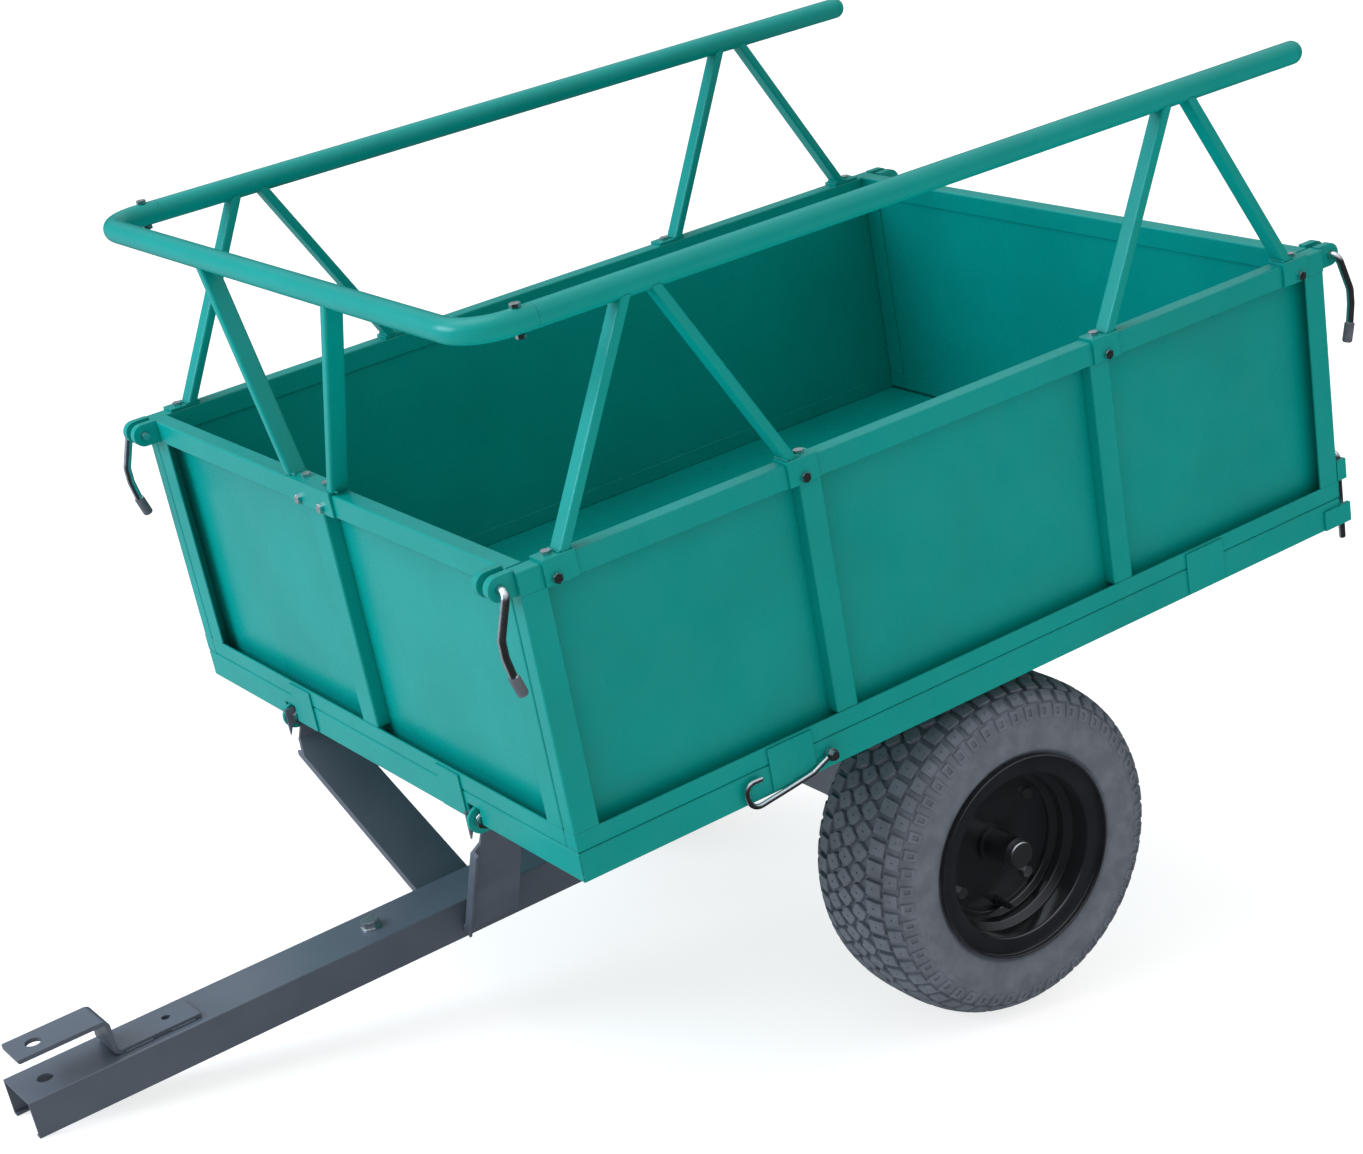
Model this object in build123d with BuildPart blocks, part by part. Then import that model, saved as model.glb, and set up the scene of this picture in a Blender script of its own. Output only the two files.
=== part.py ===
"""Tow-behind garden cart: tipping steel bed, lift-off tailgate, tube rack, drawbar and two tyred wheels.

The cart is drawn level, with the origin at the front centre of the bed's underside, +X to the cart's
left, +Y to the rear and +Z up. At the end the whole cart is pitched nose down about X until its tyres
and the drawbar's tip stand on one floor, which is how it parks.
"""
import os
from math import asin, atan2, cos, degrees, hypot, radians, sin

from build123d import *

# ---- bed ----
bed_length = 1100
bed_width = 870
half_width = bed_width / 2
base_height = 34
base_flange = 30
base_wall = 2.5
floor_thickness = 1.5
panel_height = 306
panel_seam = 0.3
frame_depth = 21
frame_wall = 2
top_rail_height = 25
bottom_rail_height = 21
end_post_width = 30
side_rib_width = 28
centre_rib_width = 36
rib_setback = 1
sheet_thickness = 1.5
fold_radius = 2.4
joint_gap = 0.2
panel_end_gap = 1
tailgate_floor_gap = 3
cross_member_width = 60
# ---- fits ----
running_fit = 0.05
sliding_gap = 0.3
bolt_hole_gap = 0.1
through = 60
m6_radius = 3
m8_radius = 4
m12_radius = 6
# ---- rack ----
rack_tube_radius = 13
rack_tube_wall = 1.8
rack_height = 569
rack_bend_radius = 47
rack_setback = 10.5
rack_joint = 80
rack_joint_bolt = 64
rack_rear = bed_length - 4
spigot_length = 62
spigot_wall = 3
cap_plug = 14
strut_overrun = 20
strut_corner = 3
strut_width = 22
strut_thickness = 11
side_apex = (195, bed_length - 198)
apex_spread = 13
side_foot = (57, 332, bed_length - 330, bed_length - 55)
foot_plate_length = 38
foot_plate_wall = 3
foot_plate_centre = (47, 341, bed_length - 341, bed_length - 47)
foot_top_bolt = (41, 347, bed_length - 347, bed_length - 41)
foot_face_bolt = (40, 341, bed_length - 341, bed_length - 40)
front_strut_top = 150
front_strut_foot = 49
front_plate_half = 52
front_top_bolt = 24
front_face_bolt = 26
face_bolt_drop = 18.5
# ---- corner lugs and pins ----
lug_radius = 13
lug_reach = 18
lug_thickness = 10
outer_lug_inset = 15
inner_lug_inset = 37
lug_drop = 11.3
pin_radius = 4.5
pin_inner_end = half_width - 43
pin_outer_run = half_width + 7
grip_radius = 6
grip_length = 23
# ---- tailgate drop pins ----
drop_pin_radius = 4
drop_pin_inset = 7
drop_pin_setback = 8
drop_pin_bottom = -22
drop_pin_handle = 24
guide_low = 55
guide_high = 80
ear_thickness = 3
fork_low = 1
fork_high = 25
# ---- side hooks and tabs ----
tab_wall = 2
tab_bottom = 3
tab_lap = 18
side_tab_centre = (268, bed_length - 226)
side_tab_length = 58
front_tab_inner = 150
front_tab_outer = 200
hook_radius = 3
hook_eye_radius = 7
hook_pivot_y = 315
hook_pivot_z = 17
# ---- chassis ----
axle_y = 554
axle_z = -216
axle_radius = 12.5
axle_half = half_width - 5
beam_half = 245
beam_top = -178
beam_height = 60
beam_depth = 44
beam_wall = 4
drawbar_width = 74
drawbar_height = 45
drawbar_wall = 2.5
drawbar_top = -179.5
drawbar_lip = 8
drawbar_tip = -496
drawbar_front_end = 240
drawbar_rear_start = -100
hitch_hole_radius = 9
hitch_hole_y = -462
tang_width = 50
tang_thickness = 5
tang_top = -134
tang_front = -489
tang_bend = -388
tang_foot = -287
tang_hole_setback = 31
tang_hole_radius = 5
drawbar_bolt_y = (-60, 200)
washer_radius = 12
washer_wall = 1.5
# ---- tip-lock arms and lugs ----
arm_wall = 4
arm_foot = (37, 107)
arm_foot_z = -215
arm_tab_x = 213
arm_tab_wall = 4
arm_head = (-10, 52)
arm_head_z = -24
arm_flange = 8
arm_flange_wall = 3
arm_tab_setback = 6
arm_tab_over = 12
lock_y = 4
lock_z = 4
lock_bolt_radius = 5
notch_gap = 0.5
lock_lug_wall = 5
lock_lug_radius = 16
lock_nut_room = 8.5
lock_head_room = 17.5
# ---- wheels ----
tyre_radius = 203
tyre_half_width = 82
rim_flange = 73
wheel_x = half_width - rim_flange
rim_flange_radius = 121
bead_radius = 101.6
rim_wall = 2.5
hub_radius = 18.5
hub_inner = -45
hub_outer = 63
rim_bolt_circle = 70
rim_bolt_angle = 36
rim_hole_radius = 7
valve_angle = -95
cap_radius = 16.25
# ---- bracket of the bed's pivot ----
pivot_inner = beam_half + 5
pivot_wall = 6
pivot_half = 60
pivot_boss = 26

# ---- worked out from the above ----
panel_base = base_height + panel_seam
panel_top = panel_base + panel_height
lug_height = panel_top - lug_drop
panel_middle = half_width - frame_depth / 2
front_panel_length = bed_width - 2 * frame_depth - 2 * panel_end_gap
tailgate_base = base_height + tailgate_floor_gap
tailgate_height = panel_top - tailgate_base
pieces = {}


def block(x, y, z, mode=Mode.ADD):
    """Add or cut a box between a low and a high value of x, y and z."""
    with Locations(((x[0] + x[1]) / 2, (y[0] + y[1]) / 2, (z[0] + z[1]) / 2)):
        Box(x[1] - x[0], y[1] - y[0], z[1] - z[0], mode=mode)


def rod(start, direction, radius, length, mode=Mode.ADD):
    """Add or cut a round bar that starts at a point and runs along a direction."""
    with Locations(Plane(origin=start, z_dir=direction)):
        Cylinder(radius, length, align=(Align.CENTER, Align.CENTER, Align.MIN), mode=mode)


def bolt(seat, outwards, size, grip):
    """Add a hex bolt of a thread size whose head sits on a seat, with its nut under the grip."""
    head_radius = size * 0.95
    head_height = size * 0.65
    axis = Vector(*outwards)
    with BuildSketch(Plane(origin=seat, z_dir=axis)) as head:
        RegularPolygon(head_radius, 6)
    extrude(head.sketch, amount=head_height)
    rod(seat, -axis, size / 2, grip + head_height)
    with BuildSketch(Plane(origin=Vector(*seat) - axis * grip, z_dir=-axis)) as hexagon:
        RegularPolygon(head_radius, 6)
    extrude(hexagon.sketch, amount=head_height)


def channel(start, end, into, leg, depth, wall, lip=0):
    """Add a folded channel from start to end whose legs point along into, with optional inward lips."""
    run = Vector(*end) - Vector(*start)
    legs = Vector(*into)
    section_plane = Plane(origin=start, x_dir=legs.cross(run.normalized()), z_dir=run)
    with BuildSketch(section_plane) as section:
        Rectangle(depth, leg, align=(Align.CENTER, Align.MIN))
        fillet(section.vertices().group_by(Axis.Y)[0], fold_radius)
        with Locations((0, wall)):
            Rectangle(depth - 2 * wall, leg - wall, align=(Align.CENTER, Align.MIN), mode=Mode.SUBTRACT)
        if lip:
            for side in (-1, 1):
                with Locations((side * (depth / 2 - lip / 2), leg - wall / 2)):
                    Rectangle(lip, wall)
    extrude(section.sketch, amount=run.length)


def bent_rod(points, radii, radius):
    """Add a round bar bent along a route of points, with one bend radius for each corner."""
    with BuildLine() as route:
        FilletPolyline(*points, radius=radii)
    heading = Vector(*points[1]) - Vector(*points[0])
    with BuildSketch(Plane(origin=points[0], z_dir=heading)) as section:
        Circle(radius)
    sweep(section.sketch, path=route.wires()[0])


def keep(name, part):
    """Label a finished piece and put it on the list of pieces to write."""
    part.label = name
    pieces[name] = part


def both_sides(left_part):
    """A piece of the cart's left side and its mirror image on the right."""
    return [left_part, mirror(left_part, about=Plane.YZ, mode=Mode.PRIVATE)]


def keep_pair(name, left_part):
    """Keep a piece of the cart's left side and its mirror image on the right."""
    keep(f"{name}_left", left_part)
    keep(f"{name}_right", mirror(left_part, about=Plane.YZ, mode=Mode.PRIVATE))


# ======================================================================= bed base
def mitred_rail(length, reach):
    """Base rail along local X, web outwards at local Y = 0, both ends cut at 45 degrees."""
    with BuildPart() as rail:
        channel((0, 0, base_height / 2), (length, 0, base_height / 2), (0, 1, 0), reach, base_height,
                base_wall)
        for corner, inwards in (((joint_gap, 0, 0), (1, -1, 0)), ((length - joint_gap, 0, 0), (-1, -1, 0))):
            split(bisect_by=Plane(origin=corner, z_dir=inwards), keep=Keep.TOP)
    return rail.part


side_rail = mitred_rail(bed_length, base_flange)
end_rail = mitred_rail(bed_width, base_flange)
left_rail_plane = Plane(origin=(half_width, 0, 0), x_dir=(0, 1, 0), z_dir=(0, 0, 1))
right_rail_plane = Plane(origin=(-half_width, bed_length, 0), x_dir=(0, -1, 0), z_dir=(0, 0, 1))
front_rail_plane = Plane(origin=(-half_width, 0, 0), x_dir=(1, 0, 0), z_dir=(0, 0, 1))
rear_rail_plane = Plane(origin=(half_width, bed_length, 0), x_dir=(-1, 0, 0), z_dir=(0, 0, 1))

slot_inner = arm_tab_x - lock_nut_room
slot_outer = arm_tab_x + lock_head_room
slot_top = lock_z + lock_lug_radius + sliding_gap
with BuildPart() as base_side_rails:
    add(left_rail_plane.location * side_rail)
    add(right_rail_plane.location * side_rail)
    for side in (-1, 1):
        rod((side * (half_width - base_flange), hook_pivot_y, hook_pivot_z), (side, 0, 0),
            m6_radius + bolt_hole_gap, base_flange + 5, Mode.SUBTRACT)
keep("base_side_rails", base_side_rails.part)

with BuildPart() as base_end_rails:
    add(front_rail_plane.location * end_rail)
    add(rear_rail_plane.location * end_rail)
    for side in (-1, 1):
        block(sorted((side * slot_inner, side * slot_outer)), (-1, base_flange + 1), (-1, slot_top),
              Mode.SUBTRACT)
keep("base_end_rails", base_end_rails.part)

with BuildPart() as floor_sheet:
    block((-half_width + frame_depth + sliding_gap, half_width - frame_depth - sliding_gap),
          (frame_depth + sliding_gap, bed_length - frame_depth - sliding_gap),
          (base_height, base_height + floor_thickness))
keep("floor_sheet", floor_sheet.part)

cross_end = half_width - base_flange - sliding_gap
with BuildPart() as cross_members:
    for y in (bed_length / 4, axle_y, bed_length * 3 / 4):
        channel((-cross_end, y, 0), (cross_end, y, 0), (0, 0, 1), base_height, cross_member_width, frame_wall)
keep("floor_cross_members", cross_members.part)

with BuildPart() as pivot_bracket:
    bracket_plane = Plane(origin=(pivot_inner, 0, 0), x_dir=(0, 1, 0), z_dir=(1, 0, 0))
    with BuildSketch(bracket_plane) as cheek:
        with BuildLine():
            Polyline((axle_y - pivot_half, 0), (axle_y + pivot_half, 0),
                     (axle_y + pivot_boss, axle_z + 10), (axle_y + pivot_boss, axle_z),
                     (axle_y - pivot_boss, axle_z), (axle_y - pivot_boss, axle_z + 10),
                     (axle_y - pivot_half, 0))
        make_face()
        with Locations((axle_y, axle_z)):
            Circle(pivot_boss)
            Circle(axle_radius + running_fit, mode=Mode.SUBTRACT)
    extrude(cheek.sketch, amount=pivot_wall)
    block((pivot_inner - 34, pivot_inner), (axle_y - pivot_half, axle_y + pivot_half), (-pivot_wall, 0))
    for side in (-1, 1):
        y = axle_y + side * (cross_member_width / 2 - 12)
        rod((pivot_inner - 18, y, -pivot_wall), (0, 0, 1), m8_radius + bolt_hole_gap, pivot_wall,
            Mode.SUBTRACT)
with BuildPart() as pivot_brackets:
    add(both_sides(pivot_bracket.part))
keep("pivot_brackets", pivot_brackets.part)

# ======================================================================= side, front and tail panels
def panel_frame(length, height, ribs, rib_width):
    """Frame of folded channels with capped rails, drawn flat: X along, Y up, Z out of the outer face."""
    middle = -frame_depth / 2
    low = bottom_rail_height + joint_gap
    high = height - top_rail_height - joint_gap
    rib_face = -rib_setback
    rib_leg = frame_depth - frame_wall - sheet_thickness - rib_setback
    with BuildPart() as frame:
        channel((0, height, middle), (length, height, middle), (0, -1, 0),
                top_rail_height, frame_depth, frame_wall)
        channel((0, 0, middle), (length, 0, middle), (0, 1, 0),
                bottom_rail_height, frame_depth, frame_wall)
        for end in (0, length - frame_wall):
            block((end, end + frame_wall), (fold_radius, bottom_rail_height), (-frame_depth + 0.1, -0.1))
            block((end, end + frame_wall), (height - top_rail_height, height - fold_radius),
                  (-frame_depth + 0.1, -0.1))
        channel((0, low, middle), (0, high, middle), (1, 0, 0), end_post_width, frame_depth, frame_wall)
        channel((length, low, middle), (length, high, middle), (-1, 0, 0),
                end_post_width, frame_depth, frame_wall)
        for u in ribs:
            channel((u, low, rib_face), (u, high, rib_face), (0, 0, -1), rib_leg, rib_width, frame_wall)
    return frame.part


def panel_sheet(length, height):
    """Flat sheet whose edges sit inside the frame's channels, against their inner legs."""
    edge = frame_wall + sliding_gap
    back = -(frame_depth - frame_wall)
    with BuildPart() as sheet:
        block((edge, length - edge), (edge, height - edge), (back, back + sheet_thickness))
    return sheet.part


side_ribs = (350, bed_length - 350)
left_panel_plane = Plane(origin=(half_width, 0, panel_base), x_dir=(0, 1, 0), z_dir=(1, 0, 0))
right_panel_plane = Plane(origin=(-half_width, bed_length, panel_base), x_dir=(0, -1, 0), z_dir=(-1, 0, 0))
front_panel_plane = Plane(origin=(-front_panel_length / 2, 0, panel_base), x_dir=(1, 0, 0), z_dir=(0, -1, 0))
tailgate_plane = Plane(origin=(front_panel_length / 2, bed_length, tailgate_base),
                       x_dir=(-1, 0, 0), z_dir=(0, 1, 0))
face_bolt_z = panel_top - face_bolt_drop

with BuildPart() as side_frame:
    add(left_panel_plane.location * panel_frame(bed_length, panel_height, side_ribs, side_rib_width))
    for y in foot_top_bolt:
        rod((panel_middle, y, panel_top - 8), (0, 0, 1), m6_radius + bolt_hole_gap, 10, Mode.SUBTRACT)
    for y in foot_face_bolt:
        rod((half_width - 6, y, face_bolt_z), (1, 0, 0), m6_radius + bolt_hole_gap, 10, Mode.SUBTRACT)
keep_pair("side_frame", side_frame.part)
keep_pair("side_sheet", left_panel_plane.location * panel_sheet(bed_length, panel_height))

with BuildPart() as front_frame:
    add(front_panel_plane.location
        * panel_frame(front_panel_length, panel_height, (front_panel_length / 2,), centre_rib_width))
    for side in (-1, 1):
        rod((side * front_top_bolt, frame_depth / 2, panel_top - 8), (0, 0, 1), m6_radius + bolt_hole_gap, 10,
            Mode.SUBTRACT)
        rod((side * front_face_bolt, 6, face_bolt_z), (0, -1, 0), m6_radius + bolt_hole_gap, 10,
            Mode.SUBTRACT)
keep("front_frame", front_frame.part)
keep("front_sheet", front_panel_plane.location * panel_sheet(front_panel_length, panel_height))

guide_bolt_x = half_width - inner_lug_inset
with BuildPart() as tailgate_frame:
    add(tailgate_plane.location
        * panel_frame(front_panel_length, tailgate_height, (front_panel_length / 2,), centre_rib_width))
    for side in (-1, 1):
        rod((side * guide_bolt_x, bed_length - 6, (guide_low + guide_high) / 2), (0, 1, 0),
            m6_radius + bolt_hole_gap, 10, Mode.SUBTRACT)
keep("tailgate_frame", tailgate_frame.part)
keep("tailgate_sheet", tailgate_plane.location * panel_sheet(front_panel_length, tailgate_height))

with BuildPart() as panel_tabs:
    for side in (-1, 1):
        for y in side_tab_centre:
            block(sorted((side * half_width, side * (half_width + tab_wall))),
                  (y - side_tab_length / 2, y + side_tab_length / 2), (tab_bottom, panel_base + tab_lap))
        block(sorted((side * front_tab_inner, side * front_tab_outer)), (-tab_wall, 0),
              (tab_bottom, panel_base + tab_lap))
keep("panel_tabs", panel_tabs.part)

# ======================================================================= corner lugs and pull pins
def corner_lug(outer_x, face_y, outwards):
    """Add a D-shaped lug with a pin hole, standing on a face and pointing forwards or back."""
    with BuildSketch(Plane(origin=(outer_x, 0, 0), x_dir=(0, 1, 0), z_dir=(1, 0, 0))) as lug:
        centre = face_y + outwards * lug_reach
        with Locations(((face_y + centre) / 2, lug_height)):
            Rectangle(lug_reach, 2 * lug_radius)
        with Locations((centre, lug_height)):
            Circle(lug_radius)
            Circle(pin_radius + running_fit, mode=Mode.SUBTRACT)
    extrude(lug.sketch, amount=lug_thickness)


outer_lug_x = half_width - outer_lug_inset
inner_lug_x = half_width - inner_lug_inset
with BuildPart() as corner_lugs:
    for x in (outer_lug_x, -outer_lug_x - lug_thickness):
        corner_lug(x, 0, -1)
        corner_lug(x, bed_length, 1)
    for x in (inner_lug_x, -inner_lug_x - lug_thickness):
        corner_lug(x, 0, -1)
keep("corner_lugs", corner_lugs.part)

with BuildPart() as tailgate_lugs:
    for x in (inner_lug_x, -inner_lug_x - lug_thickness):
        corner_lug(x, bed_length, 1)
keep("tailgate_lugs", tailgate_lugs.part)

pin_y = -lug_reach
grip_start = (pin_outer_run, pin_y - 12, lug_height - 84)
grip_end = Vector(pin_outer_run, pin_y - 5, lug_height - 84 - grip_length)
with BuildPart() as pull_pin:
    bent_rod([(pin_inner_end, pin_y, lug_height), (pin_outer_run, pin_y, lug_height),
              (pin_outer_run, pin_y - 16, lug_height - 44), (pin_outer_run, pin_y - 16, lug_height - 62),
              grip_start], [9, 20, 20], pin_radius)
with BuildPart() as pull_grip:
    grip_axis = grip_end - Vector(*grip_start)
    rod(grip_start, grip_axis, grip_radius, grip_length)
    fillet(pull_grip.edges().group_by(Axis.Z)[0], 3)
front_pin = Compound(label="front_pin", children=[pull_pin.part, pull_grip.part])
keep_pair("front_pin", front_pin)
rear_pin_plane = Plane(origin=(0, bed_length / 2, 0), z_dir=(0, 1, 0))
rear_pin = Compound(label="rear_pin", children=[mirror(piece.part, about=rear_pin_plane, mode=Mode.PRIVATE)
                                                for piece in (pull_pin, pull_grip)])
keep_pair("rear_pin", rear_pin)

# ======================================================================= tailgate drop pins
drop_x = half_width - drop_pin_inset
drop_y = bed_length + drop_pin_setback
ear_rear = drop_y + drop_pin_radius + 3
with BuildPart() as pin_guide:
    inner_x = inner_lug_x - 6
    block((inner_x, half_width), (bed_length, bed_length + ear_thickness), (guide_low, guide_high))
    block((half_width - frame_depth - panel_end_gap, half_width + 1),
          (bed_length - 1, bed_length + sliding_gap), (guide_low - 1, guide_high + 1), Mode.SUBTRACT)
    for z in (guide_low, guide_high - ear_thickness):
        block((drop_x - 8, half_width), (bed_length + sliding_gap, ear_rear), (z, z + ear_thickness))
    block((half_width - ear_thickness, half_width), (bed_length + sliding_gap, ear_rear),
          (guide_low, guide_high))
    rod((drop_x, drop_y, guide_low - 1), (0, 0, 1), drop_pin_radius + running_fit, 40, Mode.SUBTRACT)
    rod((guide_bolt_x, bed_length - 1, (guide_low + guide_high) / 2), (0, 1, 0),
        m6_radius + bolt_hole_gap, ear_thickness + 2, Mode.SUBTRACT)
with BuildPart() as pin_guides:
    add(both_sides(pin_guide.part))
keep("drop_pin_guides", pin_guides.part)

with BuildPart() as guide_bolts:
    for side in (-1, 1):
        bolt((side * guide_bolt_x, bed_length + ear_thickness, (guide_low + guide_high) / 2),
             (0, 1, 0), 6, ear_thickness + frame_wall)
keep("guide_bolts", guide_bolts.part)

fork_front = bed_length - 28
with BuildPart() as pin_fork:
    block((half_width, half_width + ear_thickness), (fork_front, ear_rear), (fork_low, fork_high))
    block((drop_x - 10, half_width + ear_thickness), (bed_length, ear_rear),
          (fork_low, fork_low + ear_thickness))
    block((drop_x - 10, half_width + ear_thickness), (bed_length, ear_rear),
          (fork_high - ear_thickness, fork_high))
    block((drop_x - 10, drop_x - 10 + ear_thickness), (bed_length, ear_rear), (fork_low, fork_high))
    notch = drop_pin_radius + notch_gap
    rod((drop_x, drop_y, fork_low - 1), (0, 0, 1), notch, 40, Mode.SUBTRACT)
    block((drop_x - notch, drop_x + notch), (drop_y, ear_rear + 1), (fork_low - 1, fork_high + 1),
          Mode.SUBTRACT)
with BuildPart() as pin_forks:
    add(both_sides(pin_fork.part))
keep("drop_pin_forks", pin_forks.part)

handle_bend = drop_pin_radius + 2
handle_z = guide_high + handle_bend + sliding_gap
with BuildPart() as drop_pin:
    bent_rod([(drop_x, drop_y, drop_pin_bottom), (drop_x, drop_y, handle_z),
              (drop_x - drop_pin_handle, drop_y, handle_z)], [handle_bend], drop_pin_radius)
    fillet(drop_pin.edges().group_by(Axis.Z)[0], 2.5)
keep_pair("drop_pin", drop_pin.part)

# ======================================================================= side hooks
hook_x = half_width + tab_wall + sliding_gap + hook_radius + 0.5
with BuildPart() as side_hook:
    bent_rod([(hook_x, hook_pivot_y - 6, hook_pivot_z - 2), (hook_x, 288, 6), (hook_x, 258, 2),
              (hook_x, 206, -4), (hook_x, 200, 27), (hook_x, 224, 26)], [8, 20, 14, 11], hook_radius)
    rod((hook_x - hook_radius, hook_pivot_y, hook_pivot_z), (1, 0, 0), hook_eye_radius, 2 * hook_radius)
    rod((hook_x - hook_radius - 1, hook_pivot_y, hook_pivot_z), (1, 0, 0),
        m6_radius + running_fit, 2 * hook_radius + 2, Mode.SUBTRACT)
keep_pair("side_hook", side_hook.part)

hook_seat = hook_x + hook_radius + sliding_gap
with BuildPart() as hook_bolts:
    for side in (-1, 1):
        bolt((side * hook_seat, hook_pivot_y, hook_pivot_z), (side, 0, 0), 6,
             hook_seat - half_width + base_wall)
        spacer_end = hook_x - hook_radius - sliding_gap
        rod((side * half_width, hook_pivot_y, hook_pivot_z), (side, 0, 0), hook_eye_radius - 1,
            spacer_end - half_width)
keep("hook_bolts", hook_bolts.part)

# ======================================================================= rack
rack_bore = rack_tube_radius - rack_tube_wall
bolt_reach = rack_tube_radius + 4
bow_points = [(side * panel_middle, y, rack_height) for side, y in
              ((1, rack_joint), (1, rack_setback), (-1, rack_setback), (-1, rack_joint))]
with BuildPart() as rack_bow:
    with BuildLine() as bow_route:
        FilletPolyline(*bow_points, radius=rack_bend_radius)
    with BuildSketch(Plane(origin=bow_points[0], x_dir=(1, 0, 0), z_dir=(0, -1, 0))) as ring:
        Circle(rack_tube_radius)
        Circle(rack_bore, mode=Mode.SUBTRACT)
    sweep(ring.sketch, path=bow_route.wires()[0])
    for side in (-1, 1):
        rod((side * panel_middle, rack_joint_bolt, rack_height - bolt_reach), (0, 0, 1),
            m6_radius + bolt_hole_gap, 2 * bolt_reach, Mode.SUBTRACT)
keep("rack_bow", rack_bow.part)

rail_end = rack_rear - rack_tube_radius
with BuildPart() as rack_rail:
    rod((panel_middle, rack_joint + joint_gap, rack_height), (0, 1, 0), rack_tube_radius,
        rail_end - rack_joint - joint_gap)
    rod((panel_middle, rack_joint, rack_height), (0, 1, 0), rack_bore, bed_length, Mode.SUBTRACT)
keep_pair("rack_rail", rack_rail.part)

with BuildPart() as rack_caps:
    for side in (-1, 1):
        with Locations((side * panel_middle, rail_end + joint_gap, rack_height)):
            Sphere(rack_tube_radius)
    block((-bed_width, bed_width), (rail_end - 2 * rack_tube_radius, rail_end + joint_gap),
          (rack_height - rack_tube_radius, rack_height + rack_tube_radius), Mode.SUBTRACT)
    for side in (-1, 1):
        rod((side * panel_middle, rail_end - cap_plug, rack_height), (0, 1, 0), rack_bore - sliding_gap,
            cap_plug + joint_gap)
keep("rack_end_caps", rack_caps.part)

spigot_start = rack_setback + rack_bend_radius + 1
with BuildPart() as rack_spigots:
    for side in (-1, 1):
        rod((side * panel_middle, spigot_start, rack_height), (0, 1, 0), rack_bore - sliding_gap,
            spigot_length)
        rod((side * panel_middle, spigot_start - 1, rack_height), (0, 1, 0), rack_bore - spigot_wall,
            spigot_length + 2, Mode.SUBTRACT)
        rod((side * panel_middle, rack_joint_bolt, rack_height - bolt_reach), (0, 0, 1),
            m6_radius + bolt_hole_gap, 2 * bolt_reach, Mode.SUBTRACT)
keep("rack_spigots", rack_spigots.part)

def strut(foot, top, across):
    """Add a flat strut between two points, its wide side along across."""
    run = Vector(*top) - Vector(*foot)
    beyond = run.normalized() * strut_overrun
    with BuildSketch(Plane(origin=Vector(*foot) - beyond, x_dir=across, z_dir=run)) as section:
        RectangleRounded(strut_width, strut_thickness, strut_corner)
    extrude(section.sketch, amount=run.length + beyond.length)


foot_top = panel_top + foot_plate_wall
with BuildPart() as side_struts:
    for index, apex in enumerate(side_apex):
        for step, spread in ((0, -apex_spread), (1, apex_spread)):
            strut((panel_middle, side_foot[2 * index + step], foot_top),
                  (panel_middle, apex + spread, rack_height), (1, 0, 0))
    rod((panel_middle, 0, rack_height), (0, 1, 0), rack_tube_radius, bed_length, Mode.SUBTRACT)
    block((0, half_width + 20), (0, bed_length), (rack_height, rack_height + 40), Mode.SUBTRACT)
    split(bisect_by=Plane.XY.offset(foot_top), keep=Keep.TOP)

with BuildPart() as front_struts:
    for side in (-1, 1):
        strut((side * front_strut_foot, rack_setback, foot_top),
              (side * front_strut_top, rack_setback, rack_height), (0, 1, 0))
    rod((-half_width, rack_setback, rack_height), (1, 0, 0), rack_tube_radius, bed_width, Mode.SUBTRACT)
    block((-half_width, half_width), (-40, 60), (rack_height, rack_height + 40), Mode.SUBTRACT)
    split(bisect_by=Plane.XY.offset(foot_top), keep=Keep.TOP)

with BuildPart() as rack_struts:
    add(both_sides(side_struts.part))
    add(front_struts.part)
keep("rack_struts", rack_struts.part)


with BuildPart() as side_plates:
    for y in foot_plate_centre:
        block((half_width - frame_depth, half_width + foot_plate_wall),
              (y - foot_plate_length / 2, y + foot_plate_length / 2), (panel_top, foot_top))
        block((half_width, half_width + foot_plate_wall),
              (y - foot_plate_length / 2, y + foot_plate_length / 2), (panel_top - top_rail_height, foot_top))
    for y in foot_top_bolt:
        rod((panel_middle, y, panel_top - 1), (0, 0, 1), m6_radius + bolt_hole_gap, 10, Mode.SUBTRACT)
    for y in foot_face_bolt:
        rod((half_width - 1, y, face_bolt_z), (1, 0, 0), m6_radius + bolt_hole_gap, 10, Mode.SUBTRACT)
    chamfer(side_plates.edges().filter_by(Axis.Y).group_by(Axis.Z)[-1].sort_by(Axis.X)[-4:], 1.2)

with BuildPart() as front_plate:
    block((-front_plate_half, front_plate_half), (-foot_plate_wall, frame_depth), (panel_top, foot_top))
    block((-front_plate_half, front_plate_half), (-foot_plate_wall, 0),
          (panel_top - top_rail_height, foot_top))
    for side in (-1, 1):
        rod((side * front_top_bolt, frame_depth / 2, panel_top - 1), (0, 0, 1), m6_radius + bolt_hole_gap, 10,
            Mode.SUBTRACT)
        rod((side * front_face_bolt, 1, face_bolt_z), (0, -1, 0), m6_radius + bolt_hole_gap, 10,
            Mode.SUBTRACT)

with BuildPart() as foot_plates:
    add(both_sides(side_plates.part))
    add(front_plate.part)
keep("foot_plates", foot_plates.part)

foot_grip = foot_plate_wall + frame_wall
with BuildPart() as rack_bolts:
    for side in (-1, 1):
        bolt((side * panel_middle, rack_joint_bolt, rack_height - rack_tube_radius), (0, 0, -1), 6,
             2 * rack_tube_radius)
        for y in foot_top_bolt:
            bolt((side * panel_middle, y, foot_top), (0, 0, 1), 6, foot_grip)
        for y in foot_face_bolt:
            bolt((side * (half_width + foot_plate_wall), y, face_bolt_z), (side, 0, 0), 6, foot_grip)
        bolt((side * front_top_bolt, frame_depth / 2, foot_top), (0, 0, 1), 6, foot_grip)
        bolt((side * front_face_bolt, -foot_plate_wall, face_bolt_z), (0, -1, 0), 6, foot_grip)
keep("rack_bolts", rack_bolts.part)

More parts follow.
